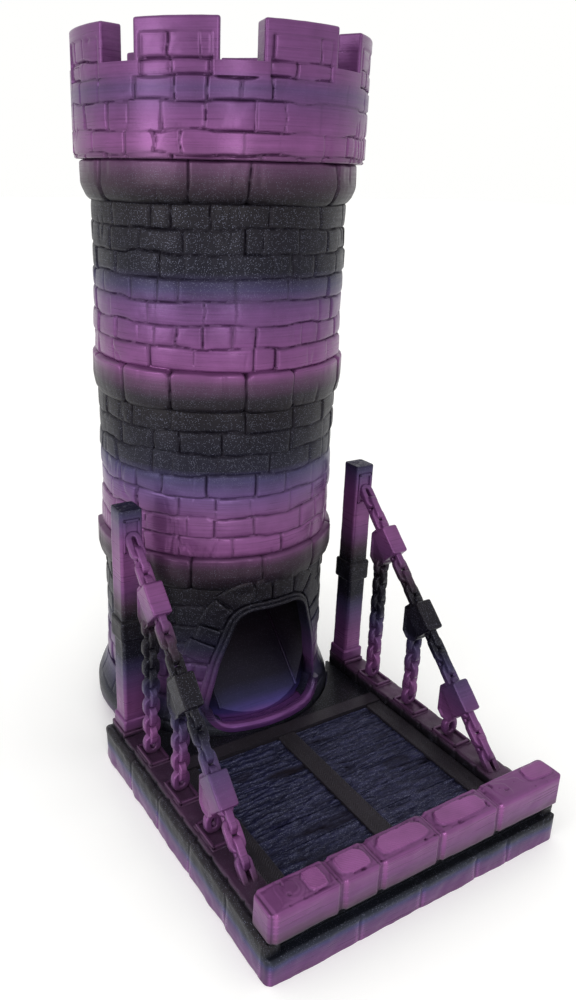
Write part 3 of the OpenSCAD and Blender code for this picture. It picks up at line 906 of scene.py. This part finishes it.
def crown_relief(theta, z):
    """Relief of the battlement wall and of the framed panels on its merlons."""
    bounds = [crown_z[0] - 1.5, *COURSE_Z, PANEL_SPLIT, PANEL_HIGH + 6]
    shift, painted_shade = coursed(theta, z, crown_r, bounds, 91, brick=(6.5, 15), wave=0.3, depth=0.75)
    side = MERLON_ANGLE / 2 * crown_r - np.abs(merlon_offset(theta)) * crown_r
    above = smooth(-0.2, 0.2, z - PANEL_LOW)
    panel = smooth(1.7, 2.3, side) * smooth(PANEL_HIGH + 0.3, PANEL_HIGH - 0.3, z) * above
    rim = bell(side - 2.1, 0.5) * smooth(PANEL_HIGH, PANEL_HIGH - 1, z) * above
    rim = np.maximum(rim, bell(z - PANEL_HIGH - 0.1, 0.4) * smooth(1.8, 2.4, side))
    bricks = (1.1 * shift - 0.5) * panel - 0.2 * rim
    shift = np.where(z > PANEL_LOW, bricks, shift)
    # Painted shade in the panel joints and round the panel rims
    painted_shade = np.where(z > PANEL_LOW, painted_shade * panel * 0.9 + 0.25 * rim, painted_shade)
    lip = smooth(crown_z[0] + 1.3, crown_z[0] + 0.8, z)
    return np.minimum(shift + 0.12 - 0.45 * lip, 0.0), painted_shade * (1 - 0.5 * lip)


def crown_lump():
    """The battlement wall up to the foot of the merlons."""
    theta, z = wall_grid(crown_r, *crown_z, 0.27)
    shift, painted_shade = crown_relief(theta, z)
    body = crown_r + shift - rounding(np.clip(z - crown_z[0], 0, CROWN_EDGE), CROWN_EDGE)
    return shell(theta, np.broadcast_to(z, shift.shape), body, CROWN_BORE_R, painted_shade)


def merlon_lump(index):
    """One merlon: a bent rounded block whose outer face carries its framed panel."""
    middle = index * TAU / MERLONS
    half = MERLON_ANGLE / 2 * crown_r

    def relief(p, n):
        theta, z = middle + p[:, 0] / crown_r, np.maximum(p[:, 2], crown_z[1])
        shift, painted_shade = crown_relief(theta[None, :], z[None, :])
        outer = smooth(0.4, 0.9, n[:, 1])
        rough = 0.07 * fractal(p + 50.0 * index, 3.0, 140 + index, 3)
        top = smooth(0.5, 0.9, n[:, 2])
        # The outer face takes the panel's painted shade
        return outer * shift[0] + (1 - outer) * (rough - 0.07) - 0.02 * top, outer * painted_shade[0]

    low = (-half, CROWN_BORE_R, crown_z[1] - 1.6)
    p, quads, painted_shade = box_lump(low, (half, crown_r, top_z), 0.75, (0.36, 0.5, 0.3), relief)
    theta = middle + p[:, 0] / crown_r
    under = np.maximum(crown_z[1] - p[:, 2], 0)
    height = np.maximum(p[:, 2], crown_z[1]) - 0.01 * under
    verts = np.stack([p[:, 1] * np.sin(theta), -p[:, 1] * np.cos(theta), height], -1)
    return oriented((verts, quads, painted_shade))


on_tower("crown_bricks", crown_lump(), "crown", "crown_wall")
on_tower("merlon_stones", joined([merlon_lump(i) for i in range(MERLONS)]), "crown", "merlons")


# ---------------------------------------------------------------- tray stones
TRAY_LIMIT = (51.75, 119.6, 0)
TRAY_CORNER = (51.7, -119.6, 3.0)
SINK = 1.4


def on_tray(name, lump, slot, key, node):
    place_lump(name, lump, "tray", slot, MAT[key], node)


def stone_relief(seed, rough, mid, half, axis, cell=6.0):
    """Rounded, slightly lumpy stone whose ends along one axis are worn back to shallow joints; painted shade
    darkens the joints and a painted highlight runs just inside them.
    """
    def relief(p, n):
        end = half[axis] - np.abs(p[:, axis] - mid[axis])
        worn = 0.25 * bell(end, 0.5) + 0.2 * bell(end, 2.2)
        lumps = rough * fractal(p, cell, seed, 3)
        # Painted shade at the stone's end and a painted highlight just inside it
        line = 0.5 * bell(end, 0.3) - 0.5 * bell(end - 0.9, 0.5)
        return lumps - 0.5 * rough - worn * (0.6 + 0.4 * lattice_noise(p, 5.0, seed + 2)), line
    return relief


def grounded(lump):
    """Flattens the part of a lump that reaches below the table on to it."""
    v, q, d = lump
    z = v[:, 2]
    v[:, 2] = np.where(z > 0.05, z, 0.05 * np.exp(np.minimum(z - 0.05, 0) / 0.4))
    return v, q, d


def worn_corners(v, x, y, r):
    """Rounds in plan the vertical corners of points near (-x, y) and (x, y); y is the front, towards -Y."""
    d = np.stack([np.abs(v[:, 0]) - (x - r), (y + r) - v[:, 1]], -1)
    far = np.hypot(d[:, 0], d[:, 1])
    hit = (d[:, 0] > 0) & (d[:, 1] > 0) & (far > r)
    d[hit] *= (r / far[hit])[:, None]
    v[hit, 0] = np.sign(v[hit, 0]) * (x - r + d[hit, 0])
    v[hit, 1] = y + r - d[hit, 1]


def stones_lump(node, radius, step, seed, axis, rough=0.35, into=(0, 0, 0, 0, 0, 0)):
    """A row of rounded stones, one for each solid of the CAD node; `into` sinks hidden faces deeper."""
    parts = []
    for k, (lo, hi) in enumerate(solids_of(node)):
        mid, half = (lo + hi) / 2, (hi - lo) / 2 + 0.25
        lo, hi = lo - np.array(into[:3]), hi + np.array(into[3:])
        lo[axis] = max(mid[axis] - half[axis] - 0.75 * radius, -TRAY_LIMIT[axis])
        hi[axis] = min(mid[axis] + half[axis] + 0.75 * radius, TRAY_LIMIT[axis])
        lump = grounded(box_lump(lo, hi, radius, step, stone_relief(seed + 7 * k, rough, mid, half, axis)))
        worn_corners(lump[0], *TRAY_CORNER)
        parts.append(lump)
    return joined(parts)


for name, node, shape in (
    ("front_stones", "front_course", (1.3, 0.4, 200, 0, 0.3, (0, 0, SINK, 0, 2.5, 0))),
    ("left_stones", "left_side_stones", (1.9, 0.45, 230, 1, 0.45, (0, 0, SINK, 3.5, 0, 0.6))),
    ("right_stones", "right_side_stones", (1.9, 0.45, 260, 1, 0.45, (3.5, 0, SINK, 0, 0, 0.6))),
):
    on_tray(name, stones_lump(node, *shape), "base_banded", "base", node)


# For each parapet stone: middle of its raised patch along X and Y, then the patch's half width and depth,
# all as shares of the stone's half size
PATCHES = (
    (0.50, 0.05, 0.30, 0.74), (-0.04, 0.0, 0.80, 0.70), (0.02, 0.0, 0.78, 0.66), (0.02, 0.0, 0.80, 0.66),
    (0.52, 0.20, 0.36, 0.64),
)
PARAPET_LAP = 1.4


def parapet_relief(lo, hi, seed, patch):
    """Hewn stone: bevelled ends, wide front shoulder, stepped contours and a raised, hatched patch painted
    paler as a highlight.
    """
    mid, half = (lo + hi) / 2, (hi - lo) / 2
    px, py, pw, pd = patch

    def relief(p, n):
        top, front = smooth(0.6, 0.95, n[:, 2]), smooth(0.6, 0.95, -n[:, 1])
        left, right = p[:, 0] - lo[0], hi[0] - p[:, 0]
        bevel = 0.5 * smooth(1.7, 0.7, left) + 0.3 * smooth(1.0, 0.1, right)
        lumps = 0.22 * fractal(p, (7.0, 7.0, 5.0), seed, 3)
        wave = 0.35 * lattice_noise(p, 9.0, seed + 12)
        foot = (0.5 + wave) * smooth(1.8, 0.0, p[:, 2] - lo[2]) ** 2
        u = np.abs((p[:, 0] - mid[0] - px * half[0]) / (pw * half[0]))
        v = np.abs((p[:, 1] - mid[1] - py * half[1]) / (pd * half[1]))
        far = 0.35 * np.hypot(u, v) + 0.65 * (u**5 + v**5) ** 0.2
        far = far + 0.16 * lattice_noise(p, 3.5, seed + 3) + 0.05 * lattice_noise(p, 1.2, seed + 5)
        raised = smooth(1.04, 0.94, far) * top
        hatch = np.sin((p[:, 0] + 0.9 * p[:, 1]) * TAU)
        pits = smooth(0.55, 0.7, lattice_noise(p, 1.5, seed + 21)) * top * (1 - raised)
        level = lattice_noise(p, 6.0, seed + 17)
        ledge = (0.12 * np.round(2.5 * level) + 0.1) * top * (1 - raised)
        shift = lumps - 0.15 - bevel - foot - 0.45 * top + raised * (0.4 + 0.04 * hatch) - 0.4 * pits - ledge
        # Painted shade at the ends, round the patch, in the pits and over the top; painted highlight on the
        # raised patch and in a strip down the front near the left end
        edge, ends = bell(far - 1.06, 0.06) * top, np.clip(bell(left, 0.3) + bell(right, 0.3), 0, 1)
        tone = 0.75 * ends + 0.3 * edge + 0.4 * pits + 0.15 * top
        painted_highlight = raised * (0.5 + 0.2 * hatch) + 0.45 * bell(left - 1.2, 0.6) * front
        return np.minimum(shift, 0.0), tone - painted_highlight
    return relief


for k, patch in enumerate(PATCHES, 1):
    node = f"parapet_stone_{k}"
    lo, hi = node_box(node)
    grown_lo, grown_hi = lo.copy(), hi.copy()
    grown_lo[0] = max(lo[0] - PARAPET_LAP, -TRAY_CORNER[0])
    grown_hi[0] = min(hi[0] + PARAPET_LAP, TRAY_LIMIT[0])
    if k == len(PATCHES):
        hi[0] += 1.5
    lump = box_lump(grown_lo, grown_hi, 2.0, 0.24, parapet_relief(lo, hi, 300 + 11 * k, patch))
    worn_corners(lump[0], TRAY_CORNER[0], grown_lo[1], 3.2)
    on_tray(f"parapet_block_{k}", lump, "parapet_magenta", "parapet", node)


# ---------------------------------------------------------------- deck
def plank_relief(lo, hi, seed):
    """Old timber: fine shaggy grain along X, a few splits and worn patches on the upper face; painted shade
    darkens the splits and grain hollows and a painted highlight pales the grain ridges.
    """
    def relief(p, n):
        top = smooth(0.5, 0.9, n[:, 2])
        grain = fractal(p * [0.16, 1.0, 1.0], (0.75, 0.75, 0.75), seed, 2)
        splits = bell(lattice_noise(p * [0.10, 1.0, 1.0], 2.2, seed + 5), 0.07)
        splits = splits * smooth(0, 0.5, lattice_noise(p, 9.0, seed + 6))
        worn = smooth(0.25, 0.5, lattice_noise(p * [0.5, 1, 1], 6.0, seed + 9))
        shaggy = lattice_noise(p * [0.6, 1, 1], 0.6, seed + 8)
        lift = 0.60 * grain + 0.30 * shaggy - 0.5 * splits - 0.2 - 0.12 * worn
        hollow = np.clip(-grain - 0.5 * shaggy, -0.4, 1)
        # Painted shade in splits and hollows, painted highlight on grain ridges; the worn patches are darker
        # too
        return top * lift, top * (0.7 * splits + 0.9 * hollow + 0.9 * worn)
    return relief


planks = []
for k, (lo, hi) in enumerate(solids_of("deck_planks")):
    lo[1], hi[1] = lo[1] - 0.15, hi[1] + 0.15
    planks.append(box_lump(lo, hi, 0.3, (0.80, 0.18, 0.6), plank_relief(lo, hi, 400 + 13 * k)))
on_tray("deck_boards", joined(planks), "deck_black", "plank", "deck_planks")


STRAP_SINK = 0.6


def strap_relief(p, n):
    """Woven chevrons across the strap, with painted shade in the low parts of the weave."""
    top = smooth(0.5, 0.9, n[:, 2])
    side = np.sign(np.sin(p[:, 0] * TAU / 3.2))
    weave = np.sin((p[:, 1] + side * p[:, 0]) * TAU / 0.9)
    return top * (0.11 * weave - 0.11) + 0.05 * fractal(p, 2.0, 17, 2), top * 0.25 * (weave < -0.3)


for word in ("left", "centre", "right"):
    lo, hi = node_box(word + "_strap")
    lump = box_lump(lo - np.array([0, 0, STRAP_SINK]), hi, 0.35, (0.2, 0.22, 0.4), strap_relief)
    on_tray(word + "_band", lump, "deck_black", "deck", word + "_strap")


def strip_lump():
    """Strip along the parapet; at its outer ends it swings round into the side straps."""
    parts = []
    for lo, hi in solids_of("front_strap"):
        lo, hi = lo - np.array([0.4, 0, STRAP_SINK]), hi + np.array([0.4, 0, 0])
        outer = max(abs(lo[0]), abs(hi[0]))
        v, q, d = box_lump(lo, hi, 0.3, (0.4, 0.3, 0.4), strap_relief)
        reach = 4.5 * np.clip(1 - (outer - np.abs(v[:, 0])) / 5.0, 0, 1) ** 2
        share = (v[:, 1] - lo[1]) / (hi[1] - lo[1])
        v[:, 1] += reach * share
        v[:, 2] -= 0.08 * smooth(0.5, 0.6, v[:, 2] - lo[2])
        parts.append((v, q, d))
    return joined(parts)


on_tray("front_band", strip_lump(), "deck_black", "deck", "front_strap")
CURB_IN, SLAB_HALF = 40.6, 49.2
CURB_LOW, CURB_TOP, PAD_TOP = 8.4, 13.6, 14.7
CURB_FRONT = -110.0
POST_Y = -24.34
DROP_Y = (-40.2, -59.9, -79.6)


def curb_relief(seed):
    """Worn blocks with joints about every 17 mm on the inner and outer faces, darkened there with painted
    shade.
    """
    def relief(p, n):
        inner = smooth(0.5, 0.9, np.abs(n[:, 0]))
        joint_shade = bell(np.sin(p[:, 1] * TAU / 17.0 + 0.8) * 17.0 / TAU, 0.5)
        rough = 0.28 * fractal(p, (3.0, 4.0, 2.0), seed, 3)
        return rough - 0.2 - 0.5 * joint_shade * inner, 0.6 * joint_shade * inner
    return relief


def frame_bars(x, y, z, rib=0.9):
    """Four low ribs round the foot of a chain."""
    (x0, x1), (y0, y1), (z0, z1) = x, y, z
    boxes = (((x0, y0, z0), (x0 + rib, y1, z1)), ((x1 - rib, y0, z0), (x1, y1, z1)),
             ((x0, y0, z0), (x1, y0 + rib, z1)), ((x0, y1 - rib, z0), (x1, y1, z1)))
    return [box_lump(lo, hi, 0.28, 0.4) for lo, hi in boxes]


def curb_lump(side, seed):
    """Curb beam with a worn top, a step under each chain foot and a pad under the post."""
    x = sorted((side * CURB_IN, side * (SLAB_HALF + 0.4)))
    beam_hi, pad_hi = (x[1], POST_Y - 4.6, CURB_TOP), (x[1] - 0.4 * (side > 0), POST_Y + 5.4, PAD_TOP)
    parts = [box_lump((x[0], CURB_FRONT, CURB_LOW), beam_hi, 0.9, 0.45, curb_relief(seed)),
             box_lump((x[0], POST_Y - 5.0, CURB_LOW), pad_hi, 0.6, 0.5, curb_relief(seed + 3))]
    a, b = sorted((side * (CURB_IN + 0.2), side * (SLAB_HALF - 0.6)))
    for k, y in enumerate(DROP_Y):
        low, high = y - 7.2, y + 4.8
        step_hi = (b, high, CURB_TOP + 0.25)
        parts.append(box_lump((a, low, 10.0), step_hi, 0.5, 0.45, curb_relief(seed + 9 + k)))
        parts += frame_bars((a + 0.5, b - 0.5), (low + 0.6, high - 0.5), (CURB_TOP - 0.4, CURB_TOP + 0.95))
    return joined(parts)


on_tray("left_curb_stones", curb_lump(-1, 700), "curb_brown", "curb", "left_curb")
on_tray("right_curb_stones", curb_lump(1, 730), "curb_brown", "curb", "right_curb")


# ---------------------------------------------------------------- rails
POST_X, POST_HALF, POST_TOP = 44.64, 3.46, 92.0
STAY_FOOT = np.array([-98.8, CURB_TOP])
STAY_HEAD = np.array([POST_Y - POST_HALF - 0.4, 83.5])
STAY_LINKS = 21
STAY_SINK = 3.2
STAY_W, STAY_BAR, STAY_THICK = 5.0, 1.8, 2.4
DROP_W, DROP_L, DROP_BAR, DROP_THICK = 5.7, 7.1, 1.9, 2.4
DROP_PITCH = DROP_L / 2 - 0.1
BLOCK = (6.2, 10.2, 7.8)
BLOCK_AHEAD = 3.2
HANGER_DROP, HANGER_HALF, HANGER_W = 12.4, 3.6, 5.2
COLLAR_Z = (47.3, 55.0)
PLATE_Z = (78.0, 89.0)
stay_vec = STAY_HEAD - STAY_FOOT
stay_len = float(np.linalg.norm(stay_vec))
stay_tilt = math.atan2(stay_vec[1], stay_vec[0])


def link_path(length, width, bar):
    """Centre line of an upright link in the XZ plane, standing on z = 0."""
    half, mid = (width - bar) / 2, length / 2
    rise = mid - bar / 2 - half
    turn = np.linspace(0, math.pi, 9)
    ends = [(half * math.cos(a), 0.0, mid + rise + half * math.sin(a)) for a in turn]
    ends += [(half * math.cos(a), 0.0, mid - rise + half * math.sin(a)) for a in turn + math.pi]
    return np.array(ends)


def chain_lump(count, pitch, length, width, bar, thick, seed):
    """Links turned a quarter turn from one to the next, each a little out of true."""
    rng = np.random.default_rng(seed)
    parts = []
    for k in range(count):
        size = rng.uniform(0.94, 1.0)
        path = link_path(length, width * size, bar)
        turn = math.pi / 2 * (k % 2) + rng.normal(0, 0.04)
        c, s = math.cos(turn), math.sin(turn)
        path = path @ np.array([[c, s, 0], [-s, c, 0], [0, 0, 1]]) + [0, 0, k * pitch]
        section = bar_section(bar, thick * rng.uniform(0.92, 1.0), 0.5)
        parts.append(oriented(tube_lump(path, section)))
    return joined(parts)


def stay_z(y):
    """Height of the stay's centre line over a point along the tray."""
    return STAY_FOOT[1] + (y - STAY_FOOT[0]) * stay_vec[1] / stay_vec[0]


def stay_lump(side, seed):
    """Chain from the curb up to the post."""
    pitch = stay_len / STAY_LINKS
    lump = chain_lump(STAY_LINKS, pitch, 2 * pitch - 0.2, STAY_W, STAY_BAR, STAY_THICK, seed)
    turn = Matrix.Rotation(stay_tilt - math.pi / 2, 4, "X")
    foot = Matrix.Translation((side * POST_X, *STAY_FOOT))
    return placed(lump, foot @ turn @ Matrix.Translation((0, 0, -STAY_SINK)))


def drop_lump(side, k, seed):
    """Upright chain from the curb to a block's hanger."""
    top = max(CURB_TOP + DROP_L, stay_z(DROP_Y[k]) - HANGER_DROP + 3)
    count = max(1, int((top - CURB_TOP - DROP_L) / DROP_PITCH) + 1)
    lump = chain_lump(count, DROP_PITCH, DROP_L, DROP_W, DROP_BAR, DROP_THICK, seed)
    return placed(lump, Matrix.Translation((side * POST_X, DROP_Y[k], CURB_TOP)))


def hanger_lump(k):
    """Hanger under a block, with a sunk panel in each side; in the plane x = 0."""
    half, low, cut_in = HANGER_HALF, -HANGER_DROP, 2.0
    outline = [(-half, low + cut_in), (cut_in - half, low), (half - cut_in, low), (half, low + cut_in),
               (half, -1.5), (half - 2, 0.6), (-half, -3.2)]
    outline = [(DROP_Y[k] + a, stay_z(DROP_Y[k]) + b) for a, b in outline]
    bm = bmesh.new()
    near = [bm.verts.new((-HANGER_W / 2, a, b)) for a, b in outline]
    far = [bm.verts.new((HANGER_W / 2, a, b)) for a, b in outline]
    sides = [bm.faces.new(near), bm.faces.new(far[::-1])]
    n = len(outline)
    for i in range(n):
        bm.faces.new((near[(i + 1) % n], near[i], far[i], far[(i + 1) % n]))
    bmesh.ops.recalc_face_normals(bm, faces=bm.faces)
    bmesh.ops.inset_individual(bm, faces=sides, thickness=1.2, depth=0)
    for face, push in zip(sides, (0.6, -0.6)):
        bmesh.ops.translate(bm, verts=face.verts, vec=(push, 0, 0))
    bmesh.ops.bevel(bm, geom=list(bm.edges), offset=0.3, segments=2, affect="EDGES", profile=0.6)
    bmesh.ops.triangulate(bm, faces=[f for f in bm.faces if len(f.verts) != 4])
    verts = np.array([v.co for v in bm.verts])
    bm.verts.index_update()
    faces = [[v.index for v in f.verts] for f in bm.faces]
    bm.free()
    return verts, faces


def block_mesh(name, side, k, seed):
    """Sleeve on the stay with its hanger."""
    def relief(p, n):
        return 0.10 * fractal(p, 3.5, seed, 3) - 0.05, np.zeros(len(p))
    y = DROP_Y[k] - BLOCK_AHEAD
    half = np.array(BLOCK) / 2
    sleeve = box_lump(-half, half, 0.8, 0.4, relief)
    turn = Matrix.Translation((side * POST_X, y, stay_z(y))) @ Matrix.Rotation(stay_tilt, 4, "X")
    v, q, _ = placed(sleeve, turn)
    hv, hf = hanger_lump(k)
    hv = hv + [side * POST_X, 0, 0]
    mesh = bpy.data.meshes.new(name)
    verts = np.vstack([v, hv]) * MM
    mesh.from_pydata(verts.tolist(), [], q.tolist() + [[i + len(v) for i in f] for f in hf])
    mesh.validate()
    mesh.shade_smooth()
    mesh.attributes.new("joint_shade", "FLOAT", "POINT")
    return mesh


def post_lump(side, seed):
    """Square post on a low foot, its top rough where the print ended."""
    def relief(p, n):
        top = smooth(0.6, 0.95, n[:, 2]) * (p[:, 2] > POST_TOP - 1)
        waves = 0.12 * fractal(p, (4.0, 4.0, 16.0), seed, 2)
        waves = waves + 0.05 * lattice_noise(p, (30.0, 30.0, 1.3), seed + 7)
        return waves + 0.1 - top * (0.2 + 0.5 * np.abs(fractal(p, 1.0, seed + 4, 2))), np.zeros(len(p))
    foot, half = POST_HALF + 0.8, POST_HALF + 0.2
    shaft = box_lump((-half, -half, PAD_TOP), (half, half, POST_TOP), 0.9, (0.4, 0.4, 0.9), relief)
    base = box_lump((-foot, -foot, PAD_TOP - 0.4), (foot, foot, PAD_TOP + 4), 0.8, 0.6, relief)
    return placed(joined([shaft, base]), Matrix.Translation((side * POST_X, POST_Y, 0)))


def collar_lump(side, seed):
    """Worn band round a post."""
    def relief(p, n):
        return 0.16 * fractal(p, 3.0, seed, 3) - 0.08, np.zeros(len(p))
    out = POST_HALF + 1.0
    band = box_lump((-out, -out, COLLAR_Z[0]), (out, out, COLLAR_Z[1]), 0.9, 0.45, relief)
    return placed(band, Matrix.Translation((side * POST_X, POST_Y, 0)))


def plate_lump(side):
    """Raised frame on the post's front face."""
    half, rim, proud, (z0, z1) = 2.8, 1.0, 0.8, PLATE_Z
    bars = (((-half, z0), (half, z0 + rim)), ((-half, z1 - rim), (half, z1)),
            ((-half, z0), (rim - half, z1)), ((half - rim, z0), (half, z1)))
    parts = [box_lump((x0, -proud, a), (x1, 0.5, b), 0.3, 0.5) for (x0, a), (x1, b) in bars]
    return placed(joined(parts), Matrix.Translation((side * POST_X, POST_Y - POST_HALF, 0)))


for side, word, seed in ((-1, "left", 500), (1, "right", 600)):
    on_tray(f"{word}_pillar", post_lump(side, seed), "rail_banded", "rail", f"{word}_post")
    on_tray(f"{word}_collar", collar_lump(side, seed + 1), "rail_banded", "rail", f"{word}_post_collar")
    on_tray(f"{word}_anchor", plate_lump(side), "rail_banded", "rail", f"{word}_anchor_plate")
    on_tray(f"{word}_stay", stay_lump(side, seed + 2), "rail_banded", "rail", f"{word}_stay_chain")
    for k in range(3):
        name, node = f"{word}_sleeve_{k + 1}", f"{word}_block_{k + 1}"
        place(name, block_mesh(name, side, k, seed + 20 + k), "tray", "rail_banded", MAT["rail"], node)
        node = f"{word}_drop_chain_{k + 1}"
        on_tray(f"{word}_drop_{k + 1}", drop_lump(side, k, seed + 30 + k), "rail_banded", "rail", node)


# ---------------------------------------------------------------- ramp
RAMP_FOLD = 15.5
BEAD = 0.55


def ramp_mesh():
    """The ramp with the fine bead that runs down each fold of its trough; each bead is painted paler as a
    highlight, the right one much more.
    """
    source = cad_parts["exit_ramp"].data
    verts = np.array([v.co for v in source.vertices]) / MM
    faces = [list(f.vertices) for f in source.polygons]
    bead_highlight = [0.0] * len(verts)
    for side in (-1, 1):
        fold = verts[:len(source.vertices)]
        fold = fold[np.abs(fold[:, 0] - side * RAMP_FOLD) < 0.1]
        low, high = fold[np.argmin(fold[:, 2])], fold[np.argmax(fold[:, 2])]
        way = Vector(high - low)
        rod = box_lump((-BEAD, -BEAD, -0.6), (BEAD, BEAD, way.length - 1.0), 0.4, (0.4, 0.4, 2.0))
        turn = Matrix.Translation(Vector(low)) @ way.to_track_quat("Z", "Y").to_matrix().to_4x4()
        v, q, _ = placed(rod, turn)
        faces += (q + len(verts)).tolist()
        verts = np.vstack([verts, v])
        # Painted highlight: negative values pale the beads' colour
        bead_highlight += [-0.9 if side > 0 else -0.1] * len(v)
    mesh = bpy.data.meshes.new("ramp_trough")
    mesh.from_pydata((verts * MM).tolist(), [], faces)
    mesh.validate()
    mesh.attributes.new("joint_shade", "FLOAT", "POINT").data.foreach_set("value", bead_highlight)
    return mesh


place("ramp_trough", ramp_mesh(), "tower", "shaft_dark", MAT["shaft"], "exit_ramp")


# ---------------------------------------------------------------- CAD nodes that show as they are
for node, key in (
    ("base_slab", "base"), ("parapet_bed", "base"), ("threshold_bar", "deck"),
    ("lower_baffle", "shaft"), ("upper_baffle", "shaft"), ("dice_funnel", "crown"),
):
    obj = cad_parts[node]
    obj.data.materials.clear()
    obj.data.materials.append(MAT[key])
    edge = obj.modifiers.new("worn_edge", "BEVEL")
    edge.width = 0.0004
    edge.segments = 2
    edge.limit_method = "ANGLE"
    edge.angle_limit = math.radians(40)


# ---------------------------------------------------------------- stage, light and camera
def white_floor():
    """Large plain floor, a little brightened so that it stays as pale as the surroundings."""
    size = 6.0
    mesh = bpy.data.meshes.new("floor")
    corners = [(-size, -size, 0), (size, -size, 0), (size, size, 0), (-size, size, 0)]
    mesh.from_pydata(corners, [], [(0, 1, 2, 3)])
    floor = bpy.data.objects.new("floor", mesh)
    bpy.context.scene.collection.objects.link(floor)
    material = bpy.data.materials.new("floor_white")
    material.use_nodes = True
    shader = material.node_tree.nodes["Principled BSDF"]
    shader.inputs["Base Color"].default_value = (0.93, 0.93, 0.92, 1)
    shader.inputs["Roughness"].default_value = 0.8
    shader.inputs["Specular IOR Level"].default_value = 0.1
    shader.inputs["Emission Color"].default_value = (1.0, 1.0, 0.99, 1)
    shader.inputs["Emission Strength"].default_value = 0.12
    floor.data.materials.append(material)


def softbox(name, azimuth, elevation, distance, size, power):
    """Area light facing the tower's middle; azimuth is from the front towards +X."""
    light = bpy.data.lights.new(name, "AREA")
    light.shape = "RECTANGLE"
    light.size, light.size_y = size
    light.energy = power
    lamp = bpy.data.objects.new(name, light)
    a, e = math.radians(azimuth), math.radians(elevation)
    way = Vector((math.sin(a) * math.cos(e), -math.cos(a) * math.cos(e), math.sin(e)))
    target = Vector((0, 0, 0.12))
    lamp.location = target + way * distance
    lamp.rotation_euler = way.to_track_quat("Z", "Y").to_euler()
    bpy.context.scene.collection.objects.link(lamp)


def studio():
    """Even pale surroundings with two tall soft lights."""
    world = bpy.data.worlds.new("studio")
    bpy.context.scene.world = world
    world.use_nodes = True
    world.node_tree.nodes["Background"].inputs[0].default_value = (1.0, 1.0, 0.99, 1)
    world.node_tree.nodes["Background"].inputs[1].default_value = 1.0
    softbox("left_window", -80, 0, 1.1, (0.40, 1.1), 6.2)
    softbox("front_window", -18, 12, 1.3, (0.26, 1.0), 4.2)
    bpy.context.scene.view_settings.view_transform = "Standard"


def camera():
    """Wide lens close to the tray, looking down and across it from the left."""
    yaw, pitch, roll = math.radians(-31.12), math.radians(19.54), math.radians(1.26)
    level = math.cos(pitch)
    forward = Vector((-math.sin(yaw) * level, math.cos(yaw) * level, -math.sin(pitch)))
    right = forward.cross(Vector((0, 0, 1))).normalized()
    up = right.cross(forward)
    c, s = math.cos(roll), math.sin(roll)
    right, up = right * c + up * s, up * c - right * s
    data = bpy.data.cameras.new("camera")
    data.sensor_width = 36.0
    data.lens = 30.42
    data.shift_x, data.shift_y = 0.0514, -0.0260
    cam = bpy.data.objects.new("camera", data)
    basis = Matrix((right, up, -forward)).transposed().to_4x4()
    cam.matrix_world = Matrix.Translation((-0.1387, -0.2442, 0.1870)) @ basis
    bpy.context.scene.collection.objects.link(cam)
    bpy.context.scene.camera = cam


white_floor()
studio()
camera()
